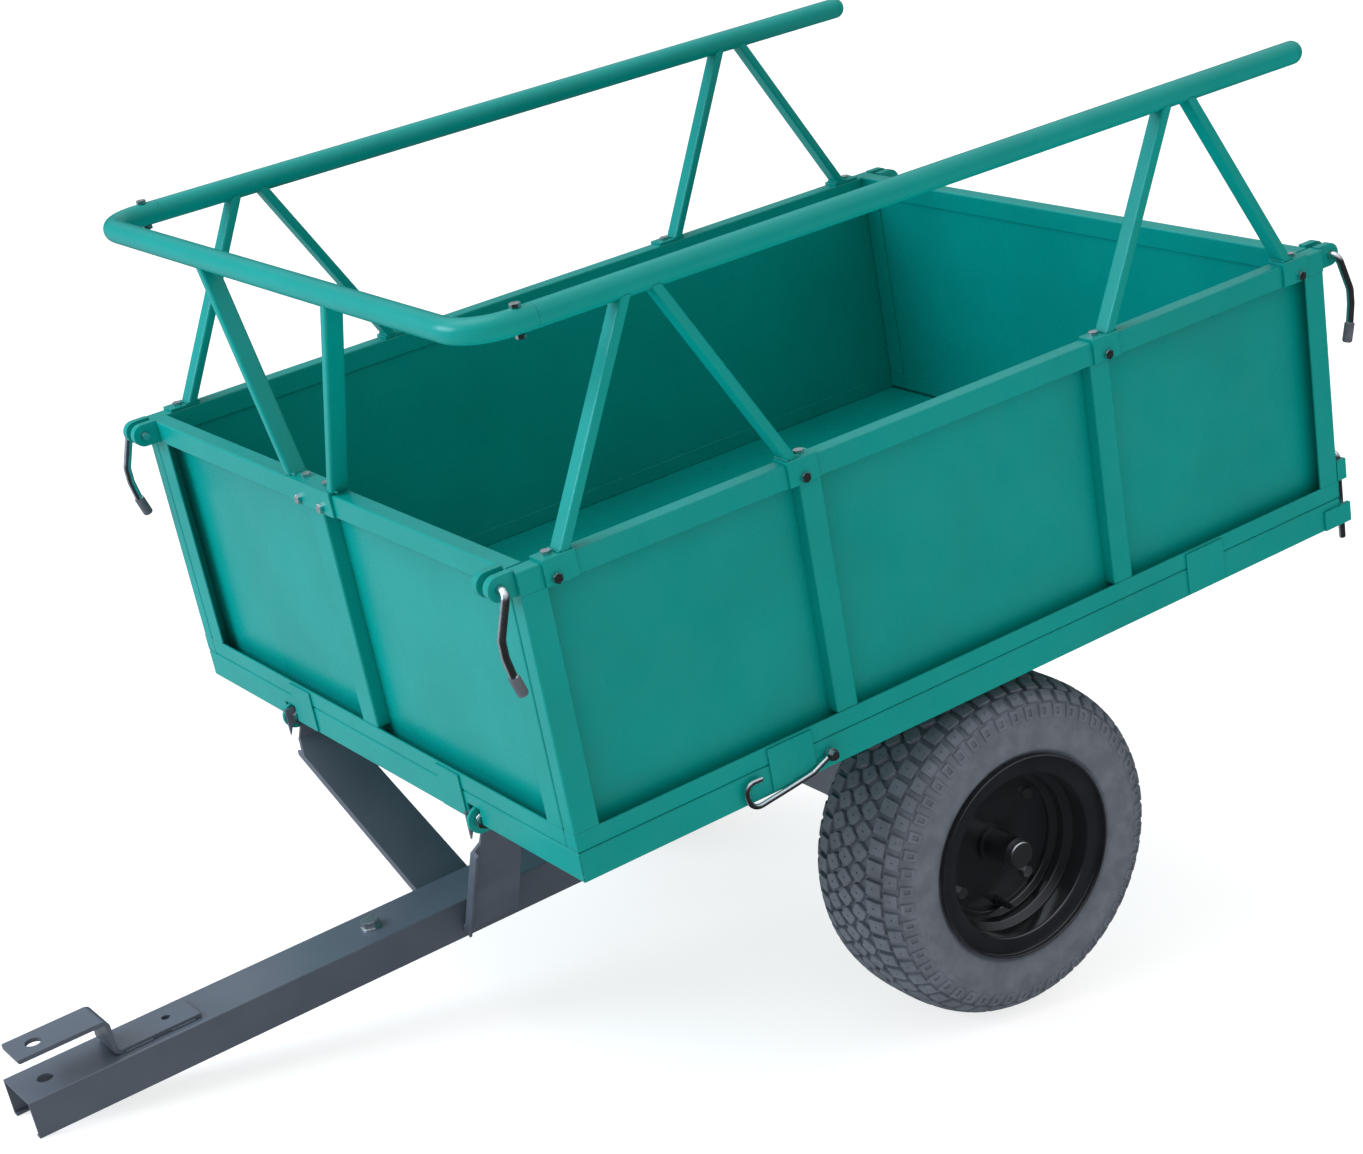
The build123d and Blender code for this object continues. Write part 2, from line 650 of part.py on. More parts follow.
# ======================================================================= axle, beam and drawbar
with BuildPart() as axle:
    rod((-axle_half, axle_y, axle_z), (1, 0, 0), axle_radius, 2 * axle_half)
    chamfer(axle.edges(), 1.5)
keep("axle", axle.part)

with BuildPart() as axle_beam:
    channel((-beam_half, axle_y, beam_top), (beam_half, axle_y, beam_top), (0, 0, -1),
            beam_height, beam_depth, beam_wall)
    for side in (-1, 1):
        block(sorted((side * (beam_half - 6), side * beam_half)),
              (axle_y - beam_depth / 2 + beam_wall, axle_y + beam_depth / 2 - beam_wall),
              (beam_top - beam_height, beam_top - beam_wall))
    rod((-beam_half - 1, axle_y, axle_z), (1, 0, 0), axle_radius, 2 * beam_half + 2, Mode.SUBTRACT)
keep("axle_beam", axle_beam.part)

hub_start = wheel_x + hub_inner
pivot_outer = pivot_inner + pivot_wall
with BuildPart() as axle_spacers:
    for side in (-1, 1):
        for low, high in ((beam_half, pivot_inner - sliding_gap),
                          (pivot_outer + sliding_gap, hub_start - sliding_gap)):
            rod((side * low, axle_y, axle_z), (side, 0, 0), axle_radius + 4, high - low)
    rod((-axle_half, axle_y, axle_z), (1, 0, 0), axle_radius, 2 * axle_half, Mode.SUBTRACT)
keep("axle_spacers", axle_spacers.part)

cap_inner = wheel_x + hub_outer + sliding_gap
with BuildPart() as axle_caps:
    for side in (-1, 1):
        with Locations(Plane(origin=(side * cap_inner, axle_y, axle_z), z_dir=(side, 0, 0))):
            Cylinder(cap_radius, axle_half + 3 - cap_inner, align=(Align.CENTER, Align.CENTER, Align.MIN))
    fillet(axle_caps.edges().group_by(Axis.X)[0] + axle_caps.edges().group_by(Axis.X)[-1], 2.5)
    rod((-axle_half, axle_y, axle_z), (1, 0, 0), axle_radius, 2 * axle_half, Mode.SUBTRACT)
keep("axle_caps", axle_caps.part)

inner_drop = drawbar_wall + sliding_gap
with BuildPart() as drawbar_front:
    channel((0, drawbar_tip, drawbar_top), (0, drawbar_front_end, drawbar_top), (0, 0, -1),
            drawbar_height, drawbar_width, drawbar_wall, drawbar_lip)
    rod((0, hitch_hole_y, drawbar_top - 10), (0, 0, 1), hitch_hole_radius, 20, Mode.SUBTRACT)
    for y in drawbar_bolt_y:
        rod((0, y, drawbar_top - 10), (0, 0, 1), m12_radius + bolt_hole_gap, 20, Mode.SUBTRACT)
keep("drawbar_front", drawbar_front.part)

with BuildPart() as drawbar_rear:
    channel((0, drawbar_rear_start, drawbar_top - inner_drop),
            (0, axle_y - beam_depth / 2, drawbar_top - inner_drop), (0, 0, -1),
            drawbar_height - inner_drop - drawbar_wall - sliding_gap,
            drawbar_width - 2 * inner_drop, drawbar_wall)
    for y in drawbar_bolt_y:
        rod((0, y, drawbar_top - 20), (0, 0, 1), m12_radius + bolt_hole_gap, 30, Mode.SUBTRACT)
keep("drawbar_rear", drawbar_rear.part)

with BuildPart() as hitch_plate:
    tang_mid = tang_thickness / 2
    with BuildSketch(Plane(origin=(-tang_width / 2, 0, 0), x_dir=(0, 1, 0), z_dir=(1, 0, 0))) as side_view:
        with BuildLine():
            FilletPolyline((tang_front - tang_thickness, tang_top - tang_mid),
                           (tang_bend, tang_top - tang_mid),
                           (tang_bend, drawbar_top + tang_mid),
                           (tang_foot + tang_thickness, drawbar_top + tang_mid), radius=tang_thickness * 1.2)
            offset(amount=tang_mid, side=Side.BOTH)
        make_face()
    extrude(side_view.sketch, amount=tang_width)
    split(bisect_by=Plane.XZ.offset(-tang_front), keep=Keep.BOTTOM)
    split(bisect_by=Plane.XZ.offset(-tang_foot), keep=Keep.TOP)
    rod((0, hitch_hole_y, drawbar_top), (0, 0, 1), hitch_hole_radius, through, Mode.SUBTRACT)
    rod((0, tang_foot - tang_hole_setback, drawbar_top - 1), (0, 0, 1), tang_hole_radius, 10, Mode.SUBTRACT)
    fillet(hitch_plate.edges().filter_by(Axis.Z).group_by(Axis.Y)[0], 3)
keep("hitch_plate", hitch_plate.part)

with BuildPart() as drawbar_bolts:
    for y in drawbar_bolt_y:
        rod((0, y, drawbar_top), (0, 0, 1), washer_radius, washer_wall)
        bolt((0, y, drawbar_top + washer_wall), (0, 0, 1), 2 * m12_radius,
             washer_wall + inner_drop + drawbar_wall)
keep("drawbar_bolts", drawbar_bolts.part)

# ======================================================================= tip-lock arms
arm_base_x = drawbar_width / 2
lean = Vector(arm_tab_x - arm_base_x, 0, arm_head_z - arm_foot_z)
with BuildPart() as support_arm:
    plate_normal = Vector(0, 1, 0).cross(lean).normalized()
    arm_plane = Plane(origin=(arm_base_x, 0, arm_foot_z), x_dir=(0, 1, 0), z_dir=plate_normal)
    with BuildSketch(arm_plane):
        with BuildLine():
            Polyline((arm_foot[0], 0), (arm_foot[1], 0), (arm_head[1], lean.length),
                     (arm_head[0], lean.length), close=True)
        make_face()
    extrude(amount=arm_wall)
    flange_foot = Vector(arm_base_x, arm_foot[0], arm_foot_z)
    flange_edge = Vector(arm_tab_x, arm_head[0], arm_head_z) - flange_foot
    flange_plane = Plane(origin=flange_foot, x_dir=plate_normal, z_dir=flange_edge)
    with BuildSketch(flange_plane) as flange:
        with Locations(((arm_wall + arm_flange) / 2, 0)):
            Rectangle(arm_wall + arm_flange, arm_flange_wall)
    extrude(flange.sketch, amount=flange_edge.length)
    block((arm_tab_x, arm_tab_x + arm_tab_wall), arm_head, (arm_head_z - arm_flange_wall, 0))
    block((arm_tab_x, arm_tab_x + arm_tab_wall), (arm_head[0], base_flange - arm_tab_setback),
          (arm_head_z, lock_z + arm_tab_over))
    block((0, arm_base_x), (-60, 200), (-300, 0), Mode.SUBTRACT)
    block((0, arm_tab_x + 40), (-60, 200), (-300, drawbar_top - drawbar_height), Mode.SUBTRACT)
    rod((arm_tab_x - 20, lock_y, lock_z), (1, 0, 0), lock_bolt_radius + notch_gap, through, Mode.SUBTRACT)
    leaving = Vector(0, lock_z - axle_z, axle_y - lock_y).normalized()
    notch_plane = Plane(origin=(arm_tab_x - 20, lock_y, lock_z), x_dir=(0, -leaving.Z, leaving.Y),
                        z_dir=(1, 0, 0))
    with BuildSketch(notch_plane) as notch_cut:
        Rectangle(2 * (lock_bolt_radius + notch_gap), through, align=(Align.CENTER, Align.MIN))
    extrude(notch_cut.sketch, amount=through, mode=Mode.SUBTRACT)
with BuildPart() as support_arms:
    add(both_sides(support_arm.part))
keep("support_arms", support_arms.part)

lug_inner_x = arm_tab_x + arm_tab_wall + sliding_gap
with BuildPart() as lock_lug:
    with BuildSketch(Plane(origin=(lug_inner_x, 0, 0), x_dir=(0, 1, 0), z_dir=(1, 0, 0))) as lug:
        with Locations((lock_y, lock_z)):
            Circle(lock_lug_radius)
        with Locations((lock_y, lock_z - lock_lug_radius)):
            Rectangle(base_flange - lock_y, base_height - base_wall - lock_z + lock_lug_radius,
                      align=(Align.MIN, Align.MIN))
        with Locations((lock_y, lock_z)):
            Circle(lock_bolt_radius + bolt_hole_gap, mode=Mode.SUBTRACT)
    extrude(lug.sketch, amount=lock_lug_wall)
with BuildPart() as lock_lugs:
    add(both_sides(lock_lug.part))
keep("lock_lugs", lock_lugs.part)

lug_outer_x = lug_inner_x + lock_lug_wall
with BuildPart() as lock_bolts:
    grip = lug_outer_x - arm_tab_x + sliding_gap
    bolt((lug_outer_x, lock_y, lock_z), (1, 0, 0), 10, grip)
    bolt((-arm_tab_x + sliding_gap, lock_y, lock_z), (1, 0, 0), 10, grip)
keep("lock_bolts", lock_bolts.part)

# ======================================================================= wheels
wheel_plane = Plane(origin=(wheel_x, axle_y, axle_z), x_dir=(1, 0, 0), z_dir=(0, -1, 0))
wheel_axis = Axis((wheel_x, axle_y, axle_z), (1, 0, 0))
half_wall = rim_wall / 2
disc_mid = 16.7
step_radius = 83
with BuildPart() as rim_outer:
    with BuildSketch(wheel_plane) as section:
        with BuildLine():
            FilletPolyline((rim_flange + 6, rim_flange_radius), (rim_flange - 1, rim_flange_radius),
                           (rim_flange - 1, bead_radius - half_wall), (46, bead_radius - half_wall),
                           (40, step_radius + 8), (28, step_radius + 8), (24, step_radius),
                           (disc_mid, step_radius), (disc_mid, hub_radius + 0.1), radius=2.2)
            offset(amount=half_wall, side=Side.BOTH, kind=Kind.ARC)
        make_face()
    revolve(section.sketch, axis=wheel_axis)
    rod((wheel_x, axle_y, axle_z), (1, 0, 0), hub_radius + joint_gap, through, Mode.SUBTRACT)
    with Locations(Plane(origin=(wheel_x, axle_y, axle_z), x_dir=(0, 1, 0), z_dir=(1, 0, 0))):
        with PolarLocations(rim_bolt_circle, 4, start_angle=rim_bolt_angle):
            Cylinder(m8_radius + bolt_hole_gap, through, mode=Mode.SUBTRACT)
        with PolarLocations(rim_bolt_circle, 1, start_angle=180):
            Cylinder(rim_hole_radius, through, mode=Mode.SUBTRACT)

inner_mid = disc_mid - rim_wall - 0.05
with BuildPart() as rim_inner:
    with BuildSketch(wheel_plane) as section:
        with BuildLine():
            FilletPolyline((-rim_flange - 6, rim_flange_radius), (-rim_flange + 1, rim_flange_radius),
                           (-rim_flange + 1, bead_radius - half_wall), (-46, bead_radius - half_wall),
                           (-40, step_radius), (inner_mid, step_radius), (inner_mid, hub_radius + 0.1),
                           radius=2.2)
            offset(amount=half_wall, side=Side.BOTH, kind=Kind.ARC)
        make_face()
    revolve(section.sketch, axis=wheel_axis)
    rod((wheel_x, axle_y, axle_z), (1, 0, 0), hub_radius + joint_gap, through, Mode.SUBTRACT)
    with Locations(Plane(origin=(wheel_x, axle_y, axle_z), x_dir=(0, 1, 0), z_dir=(1, 0, 0))):
        with PolarLocations(rim_bolt_circle, 4, start_angle=rim_bolt_angle):
            Cylinder(m8_radius + bolt_hole_gap, through, mode=Mode.SUBTRACT)
keep_pair("rim_outer_half", rim_outer.part)
keep_pair("rim_inner_half", rim_inner.part)

disc_face = disc_mid + half_wall
plate_back = inner_mid - half_wall
with BuildPart() as hub:
    rod((wheel_x + hub_inner, axle_y, axle_z), (1, 0, 0), hub_radius, hub_outer - hub_inner)
    rod((wheel_x + disc_face, axle_y, axle_z), (1, 0, 0), hub_radius + 5, 6)
    rod((wheel_x + plate_back, axle_y, axle_z), (-1, 0, 0), hub_radius + 5, 6)
    fillet(hub.edges().filter_by(GeomType.CIRCLE).group_by(Axis.X)[-1], 1)
    rod((wheel_x + hub_inner - 1, axle_y, axle_z), (1, 0, 0), axle_radius + running_fit,
        hub_outer - hub_inner + 2, Mode.SUBTRACT)
keep_pair("wheel_hub", hub.part)

with BuildPart() as rim_bolts:
    for turn in range(4):
        angle = radians(rim_bolt_angle + 90 * turn)
        place = (wheel_x + disc_face, axle_y + rim_bolt_circle * cos(angle),
                 axle_z + rim_bolt_circle * sin(angle))
        bolt(place, (1, 0, 0), 8, disc_face - plate_back)
keep_pair("rim_bolts", rim_bolts.part)

valve_radius = step_radius - 8
with BuildPart() as valve:
    base_point = Vector(wheel_x + disc_face, axle_y + valve_radius * cos(radians(valve_angle)),
                        axle_z + valve_radius * sin(radians(valve_angle)))
    rod(base_point, (1, 0, 0), 5.5, 6)
    rod(base_point, (1, 0, 0), 3.8, 24)
    rod(base_point, (1, 0, 0), 2.6, 30)
keep_pair("tyre_valve", valve.part)

tyre_fit = 0.3
bead_side = rim_flange - 1 - half_wall - tyre_fit
with BuildPart() as tyre:
    with BuildSketch(wheel_plane) as section:
        with BuildLine():
            Spline((0, tyre_radius), (42, tyre_radius - 1.5), (62, tyre_radius - 9),
                   (tyre_half_width - 5, tyre_radius - 27), (tyre_half_width, 156),
                   (tyre_half_width - 3, 137), (bead_side, rim_flange_radius - 2),
                   tangents=((1, 0), (0, -1)))
            Polyline((bead_side, rim_flange_radius - 2), (bead_side, bead_radius + tyre_fit),
                     (bead_side - 16, bead_radius + tyre_fit), (bead_side - 14, 112))
            Spline((bead_side - 14, 112), (66, 134), (69, 156), (58, 179), (34, 189), (0, 191),
                   tangents=((0.5, 1), (-1, 0)))
            Line((0, 191), (0, tyre_radius))
        make_face()
        mirror(about=Plane.YZ)
    revolve(section.sketch, axis=wheel_axis)
keep_pair("tyre", tyre.part)

# ======================================================================= park the cart and write it
tip_y = drawbar_tip - axle_y
tip_z = drawbar_top - drawbar_height - axle_z
pitch = degrees(asin(tyre_radius / hypot(tip_y, tip_z)) + atan2(tip_z, -tip_y))
turned = {name: piece.rotate(Axis.X, pitch) for name, piece in pieces.items()}
boxes = [piece.bounding_box() for piece in turned.values()]
nose = min(box.min.Y for box in boxes)
tail = max(box.max.Y for box in boxes)
park = Location((0, -(nose + tail) / 2, -min(box.min.Z for box in boxes)))

os.makedirs("parts", exist_ok=True)
for name, piece in turned.items():
    parked = piece.moved(park)
    parked.label = name
    export_step(parked, f"parts/{name}.step")
print(f"{len(pieces)} pieces, pitch {pitch:.2f} degrees, park {park.position}")
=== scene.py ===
"""Looks of a tow-behind garden cart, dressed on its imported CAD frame.

The folded steel, the hardware and the rims are the frame's own nodes, and get their finishes here. The tyres,
the weld beads and the rings on the lock bolts are modelled here and ride on the frame's bodies.
"""
import logging
import math
from dataclasses import dataclass
from enum import Enum
from typing import Any, Iterable, Sequence

import bpy
from mathutils import Matrix, Vector


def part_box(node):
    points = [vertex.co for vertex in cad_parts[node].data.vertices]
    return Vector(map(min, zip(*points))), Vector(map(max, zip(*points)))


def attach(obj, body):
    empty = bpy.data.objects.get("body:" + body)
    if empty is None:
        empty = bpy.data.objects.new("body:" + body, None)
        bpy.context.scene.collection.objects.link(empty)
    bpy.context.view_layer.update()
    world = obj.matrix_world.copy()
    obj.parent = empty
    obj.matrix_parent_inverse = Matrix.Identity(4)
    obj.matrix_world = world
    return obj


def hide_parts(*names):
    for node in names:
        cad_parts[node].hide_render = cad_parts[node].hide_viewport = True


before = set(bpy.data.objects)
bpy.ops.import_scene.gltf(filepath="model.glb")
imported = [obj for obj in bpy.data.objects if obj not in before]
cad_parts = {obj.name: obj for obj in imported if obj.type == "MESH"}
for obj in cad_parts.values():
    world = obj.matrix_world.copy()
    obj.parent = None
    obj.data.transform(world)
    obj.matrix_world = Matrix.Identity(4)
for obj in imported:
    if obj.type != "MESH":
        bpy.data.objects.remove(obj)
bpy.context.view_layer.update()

log = logging.getLogger("cart")

MM = 0.001
PARK_PITCH = math.radians(10.68)


class Slot(Enum):
    """The record's material slots, by their names there."""

    GREEN = "green_paint"
    GRAPHITE = "graphite_paint"
    BLACK = "black_enamel"
    ZINC = "zinc_steel"
    TYRE = "tyre_rubber"
    VALVE = "valve_rubber"


class Side(Enum):
    """The cart's left and right, and which way each lies along X."""

    LEFT = 1
    RIGHT = -1

    @property
    def word(self) -> str:
        """The side's name as the frame's nodes spell it."""
        return self.name.lower()


def linear(sheet: str) -> tuple[float, float, float, float]:
    """Turn an sRGB hex colour into linear light.

    Args:
        sheet: six hex digits, such as "0A8F80".

    Returns:
        Red, green, blue and an alpha of 1.
    """
    channels = [int(sheet[i : i + 2], 16) / 255 for i in (0, 2, 4)]
    light = [c / 12.92 if c <= 0.04045 else ((c + 0.055) / 1.055) ** 2.4 for c in channels]
    return light[0], light[1], light[2], 1.0


def per_metre(millimetres: float) -> float:
    """The texture scale whose cells are this many millimetres wide on Object coordinates."""
    return 1 / (millimetres * MM)


def add_node(tree: bpy.types.NodeTree, kind: str, inputs: dict[Any, Any] | None = None, **settings: Any):
    """Add a node with its settings, its input values and its links.

    Args:
        tree: the node tree.
        kind: the node's type name.
        inputs: input name or number to a value, or to an output socket that it is linked from.
        settings: the node's own properties.

    Returns:
        The new node.
    """
    made = tree.nodes.new(kind)
    for name, value in settings.items():
        setattr(made, name, value)
    for key, value in (inputs or {}).items():
        if isinstance(value, bpy.types.NodeSocket):
            tree.links.new(value, made.inputs[key])
        else:
            made.inputs[key].default_value = value
    return made


def blank_material(name: str) -> bpy.types.Material:
    """A new node material with an empty tree."""
    made = bpy.data.materials.new(name)
    made.use_nodes = True
    made.node_tree.nodes.clear()
    return made


# ---------------------------------------------------------------------------------------------- finishes
@dataclass(frozen=True)
class Paint:
    """Sprayed and stoved paint on sheet steel: an even colour with a fine orange peel, and folds painted
    paler, partly thin coat and partly a painted highlight.

    Attributes:
        name: the common name of the finish.
        body: its colour, sRGB hex.
        shade: the colour it drifts to over broad patches.
        fold_wear_and_highlight: the colour on sharp folds, partly where the coat is drawn thin and partly a
            painted highlight.
        gloss: the smoothest and roughest that the surface gets.
        coat: weight of the clear top layer.
        mirror: strength of the mirrored light, half for an ordinary paint.
        peel_mm: width of the orange peel's cells.
        peel_depth_mm: height of the orange peel.
        patch_mm: width of the broad patches.
        fold_mm: how far the eye sees a fold as rounded.
        wear_and_highlight_share: share of the fold's length that shows the paler colour, thin coat and
            painted highlight.
    """

    name: str
    body: str
    shade: str
    fold_wear_and_highlight: str
    gloss: tuple[float, float]
    coat: float
    mirror: float
    peel_mm: float
    peel_depth_mm: float
    patch_mm: float
    fold_mm: float
    wear_and_highlight_share: float

    def material(self) -> bpy.types.Material:
        """The finish as a node material."""
        made = blank_material(self.name)
        tree = made.node_tree
        place = add_node(tree, "ShaderNodeTexCoord").outputs["Object"]
        patches = add_node(tree, "ShaderNodeTexNoise", {"Vector": place, "Scale": per_metre(self.patch_mm),
                                                        "Detail": 3.0, "Roughness": 0.55})
        drift = add_node(tree, "ShaderNodeMapRange", {"Value": patches.outputs["Fac"], "From Min": 0.35,
                                                      "From Max": 0.68})
        tone = add_node(tree, "ShaderNodeMix", {"Factor": drift.outputs["Result"], "A": linear(self.body),
                                                "B": linear(self.shade)}, data_type="RGBA")
        # a fold shows where the surface's own normal and the same normal rounded over a few tenths part
        rounded = add_node(tree, "ShaderNodeBevel", {"Radius": self.fold_mm * MM}, samples=4)
        surface = add_node(tree, "ShaderNodeNewGeometry")
        normals = {0: rounded.outputs["Normal"], 1: surface.outputs["Normal"]}
        parting = add_node(tree, "ShaderNodeVectorMath", normals, operation="DOT_PRODUCT")
        fold = add_node(tree, "ShaderNodeMapRange", {"Value": parting.outputs["Value"], "From Min": 0.94,
                                                     "From Max": 0.76})
        fold_break_up = add_node(tree, "ShaderNodeTexNoise", {"Vector": place, "Scale": per_metre(9), "Detail": 5.0,
                                                       "Roughness": 0.7})
        broken = add_node(tree, "ShaderNodeMapRange", {"Value": fold_break_up.outputs["Fac"],
                                                       "From Min": 0.72 - 0.3 * self.wear_and_highlight_share,
                                                       "From Max": 0.84 - 0.3 * self.wear_and_highlight_share})
        # the folds, broken up by noise, are painted paler: partly the thin coat, partly a painted highlight
        # of the rounded edge
        fold_wear_and_highlight = add_node(tree, "ShaderNodeMath", {0: fold.outputs["Result"], 1: broken.outputs["Result"]},
                        operation="MULTIPLY")
        colour = add_node(tree, "ShaderNodeMix", {"Factor": fold_wear_and_highlight.outputs["Value"],
                                                  "A": tone.outputs["Result"],
                                                  "B": linear(self.fold_wear_and_highlight)}, data_type="RGBA")
        sheen = add_node(tree, "ShaderNodeTexNoise", {"Vector": place, "Scale": per_metre(self.patch_mm / 3),
                                                      "Detail": 4.0})
        rough = add_node(tree, "ShaderNodeMapRange", {"Value": sheen.outputs["Fac"], "From Min": 0.3,
                                                      "From Max": 0.7, "To Min": self.gloss[0],
                                                      "To Max": self.gloss[1]})
        peel = add_node(tree, "ShaderNodeTexNoise", {"Vector": place, "Scale": per_metre(self.peel_mm),
                                                     "Detail": 1.5})
        skin = add_node(tree, "ShaderNodeBump", {"Strength": 1.0, "Distance": self.peel_depth_mm * MM,
                                                 "Height": peel.outputs["Fac"],
                                                 "Normal": rounded.outputs["Normal"]})
        shader = add_node(tree, "ShaderNodeBsdfPrincipled", {"Base Color": colour.outputs["Result"],
                                                             "Roughness": rough.outputs["Result"], "IOR": 1.5,
                                                             "Specular IOR Level": self.mirror,
                                                             "Coat Weight": self.coat, "Coat Roughness": 0.12,
                                                             "Normal": skin.outputs["Normal"]})
        add_node(tree, "ShaderNodeOutputMaterial", {"Surface": shader.outputs["BSDF"]})
        return made


@dataclass(frozen=True)
class Plating:
    """Bright zinc plated on steel: clear grey metal with a faint crystal mottle and fine rolling marks.

    Attributes:
        name: the common name of the finish.
        bright: the colour of the clean crystals, sRGB hex.
        dull: the colour of the duller ones.
        gloss: the smoothest and roughest that the surface gets.
        crystal_mm: width of the mottle.
        grain_mm: width of the fine marks.
    """

    name: str
    bright: str
    dull: str
    gloss: tuple[float, float]
    crystal_mm: float
    grain_mm: float

    def material(self) -> bpy.types.Material:
        """The finish as a node material."""
        made = blank_material(self.name)
        tree = made.node_tree
        place = add_node(tree, "ShaderNodeTexCoord").outputs["Object"]
        crystals = add_node(tree, "ShaderNodeTexVoronoi", {"Vector": place,
                                                           "Scale": per_metre(self.crystal_mm)})
        mottle = add_node(tree, "ShaderNodeSeparateColor", {"Color": crystals.outputs["Color"]})
        colour = add_node(tree, "ShaderNodeMix", {"Factor": mottle.outputs["Red"], "A": linear(self.bright),
                                                  "B": linear(self.dull)}, data_type="RGBA")
        marks = add_node(tree, "ShaderNodeTexNoise", {"Vector": place, "Scale": per_metre(self.grain_mm),
                                                      "Detail": 4.0})
        rough = add_node(tree, "ShaderNodeMapRange", {"Value": marks.outputs["Fac"], "From Min": 0.3,
                                                      "From Max": 0.7, "To Min": self.gloss[0],
                                                      "To Max": self.gloss[1]})
        rounded = add_node(tree, "ShaderNodeBevel", {"Radius": 0.5 * MM}, samples=4)
        skin = add_node(tree, "ShaderNodeBump", {"Strength": 0.4, "Distance": 0.01 * MM,
                                                 "Height": marks.outputs["Fac"],
                                                 "Normal": rounded.outputs["Normal"]})
        shader = add_node(tree, "ShaderNodeBsdfPrincipled", {"Base Color": colour.outputs["Result"],
                                                             "Metallic": 1.0,
                                                             "Roughness": rough.outputs["Result"],
                                                             "Normal": skin.outputs["Normal"]})
        add_node(tree, "ShaderNodeOutputMaterial", {"Surface": shader.outputs["BSDF"]})
        return made


@dataclass(frozen=True)
class Rubber:
    """Moulded rubber or dipped vinyl: dark and matt, with a fine pitted skin and a greyer bloom.

    Attributes:
        name: the common name of the finish.
        body: its colour, sRGB hex.
        bloom: the greyer colour of patches where wax has come to the surface.
        gloss: the smoothest and roughest that the surface gets.
        grain_mm: width of the skin's pits.
        grain_depth_mm: depth of the pits.
        bloom_mm: width of the bloom's patches.
    """

    name: str
    body: str
    bloom: str
    gloss: tuple[float, float]
    grain_mm: float
    grain_depth_mm: float
    bloom_mm: float

    def material(self) -> bpy.types.Material:
        """The finish as a node material."""
        made = blank_material(self.name)
        tree = made.node_tree
        place = add_node(tree, "ShaderNodeTexCoord").outputs["Object"]
        bloom = add_node(tree, "ShaderNodeTexNoise", {"Vector": place, "Scale": per_metre(self.bloom_mm),
                                                      "Detail": 6.0, "Roughness": 0.65})
        patch = add_node(tree, "ShaderNodeMapRange", {"Value": bloom.outputs["Fac"], "From Min": 0.4,
                                                      "From Max": 0.72})
        colour = add_node(tree, "ShaderNodeMix", {"Factor": patch.outputs["Result"], "A": linear(self.body),
                                                  "B": linear(self.bloom)}, data_type="RGBA")
        rough = add_node(tree, "ShaderNodeMapRange", {"Value": bloom.outputs["Fac"], "From Min": 0.35,
                                                      "From Max": 0.7, "To Min": self.gloss[0],
                                                      "To Max": self.gloss[1]})
        pits = add_node(tree, "ShaderNodeTexNoise", {"Vector": place, "Scale": per_metre(self.grain_mm),
                                                     "Detail": 3.0, "Roughness": 0.6})
        skin = add_node(tree, "ShaderNodeBump", {"Strength": 1.0, "Distance": self.grain_depth_mm * MM,
                                                 "Height": pits.outputs["Fac"]})
        shader = add_node(tree, "ShaderNodeBsdfPrincipled", {"Base Color": colour.outputs["Result"],
                                                             "Roughness": rough.outputs["Result"],
                                                             "IOR": 1.52,
                                                             "Specular IOR Level": 0.45,
                                                             "Normal": skin.outputs["Normal"]})
        add_node(tree, "ShaderNodeOutputMaterial", {"Surface": shader.outputs["BSDF"]})
        return made


# Powder-coated sheet steel: satin gloss, a soft orange peel, and paler folds, partly thin coat and partly a
# painted highlight.
GREEN_POWDER_COAT = Paint("powder_coated_steel_green", body="008C84", shade="00857D", fold_wear_and_highlight="58B8AD",
                          gloss=(0.24, 0.34), coat=0.05, mirror=0.25, peel_mm=2.6, peel_depth_mm=0.012,
                          patch_mm=160, fold_mm=1.3, wear_and_highlight_share=0.5)
# Stoved chassis paint: blue-grey, smoother than the powder coat, with a low sheen; its folds are painted
# paler, partly thin coat and partly a painted highlight.
GRAPHITE_CHASSIS_PAINT = Paint("chassis_paint_graphite", body="525964", shade="4A515C", fold_wear_and_highlight="8A94A0",
                               gloss=(0.28, 0.4), coat=0.2, mirror=0.5, peel_mm=1.8, peel_depth_mm=0.01,
                               patch_mm=120, fold_mm=0.9, wear_and_highlight_share=0.45)
# Dipped and stoved black enamel: wet gloss that shows the pressing's steps as sharp lines of light; its folds
# are painted a little paler, partly thin coat and partly a painted highlight.
BLACK_WHEEL_ENAMEL = Paint("stoved_enamel_black", body="1B1D20", shade="222428", fold_wear_and_highlight="34373B",
                           gloss=(0.12, 0.2), coat=0.8, mirror=0.5, peel_mm=4.0, peel_depth_mm=0.012,
                           patch_mm=70, fold_mm=0.8, wear_and_highlight_share=0.3)
# Bright zinc plate: clear pale metal with a fine mottle.
ZINC_PLATE = Plating("zinc_plated_steel", "DADCDD", "C3C7CA", (0.22, 0.36), 1.6, 0.5)
# Tyre rubber: charcoal, matt, with a greyer bloom; its grain is drawn coarser than life so that it shows.
TYRE_RUBBER = Rubber("vulcanised_tyre_rubber", "5A6069", "686E78", (0.42, 0.58), 0.9, 0.04, 26)
# Valve rubber: smoother and blacker than the tyre.
VALVE_RUBBER = Rubber("moulded_valve_rubber", "18191B", "212326", (0.45, 0.55), 0.7, 0.03, 9)
# Dipped vinyl grip: soft grey with a smooth skin.
VINYL_GRIP = Rubber("dipped_vinyl_grey", "52565E", "5D626A", (0.4, 0.5), 1.1, 0.02, 12)

FINISH_OF_SLOT = {
    Slot.GREEN: GREEN_POWDER_COAT,
    Slot.GRAPHITE: GRAPHITE_CHASSIS_PAINT,
    Slot.BLACK: BLACK_WHEEL_ENAMEL,
    Slot.ZINC: ZINC_PLATE,
    Slot.TYRE: TYRE_RUBBER,
    Slot.VALVE: VALVE_RUBBER,
}


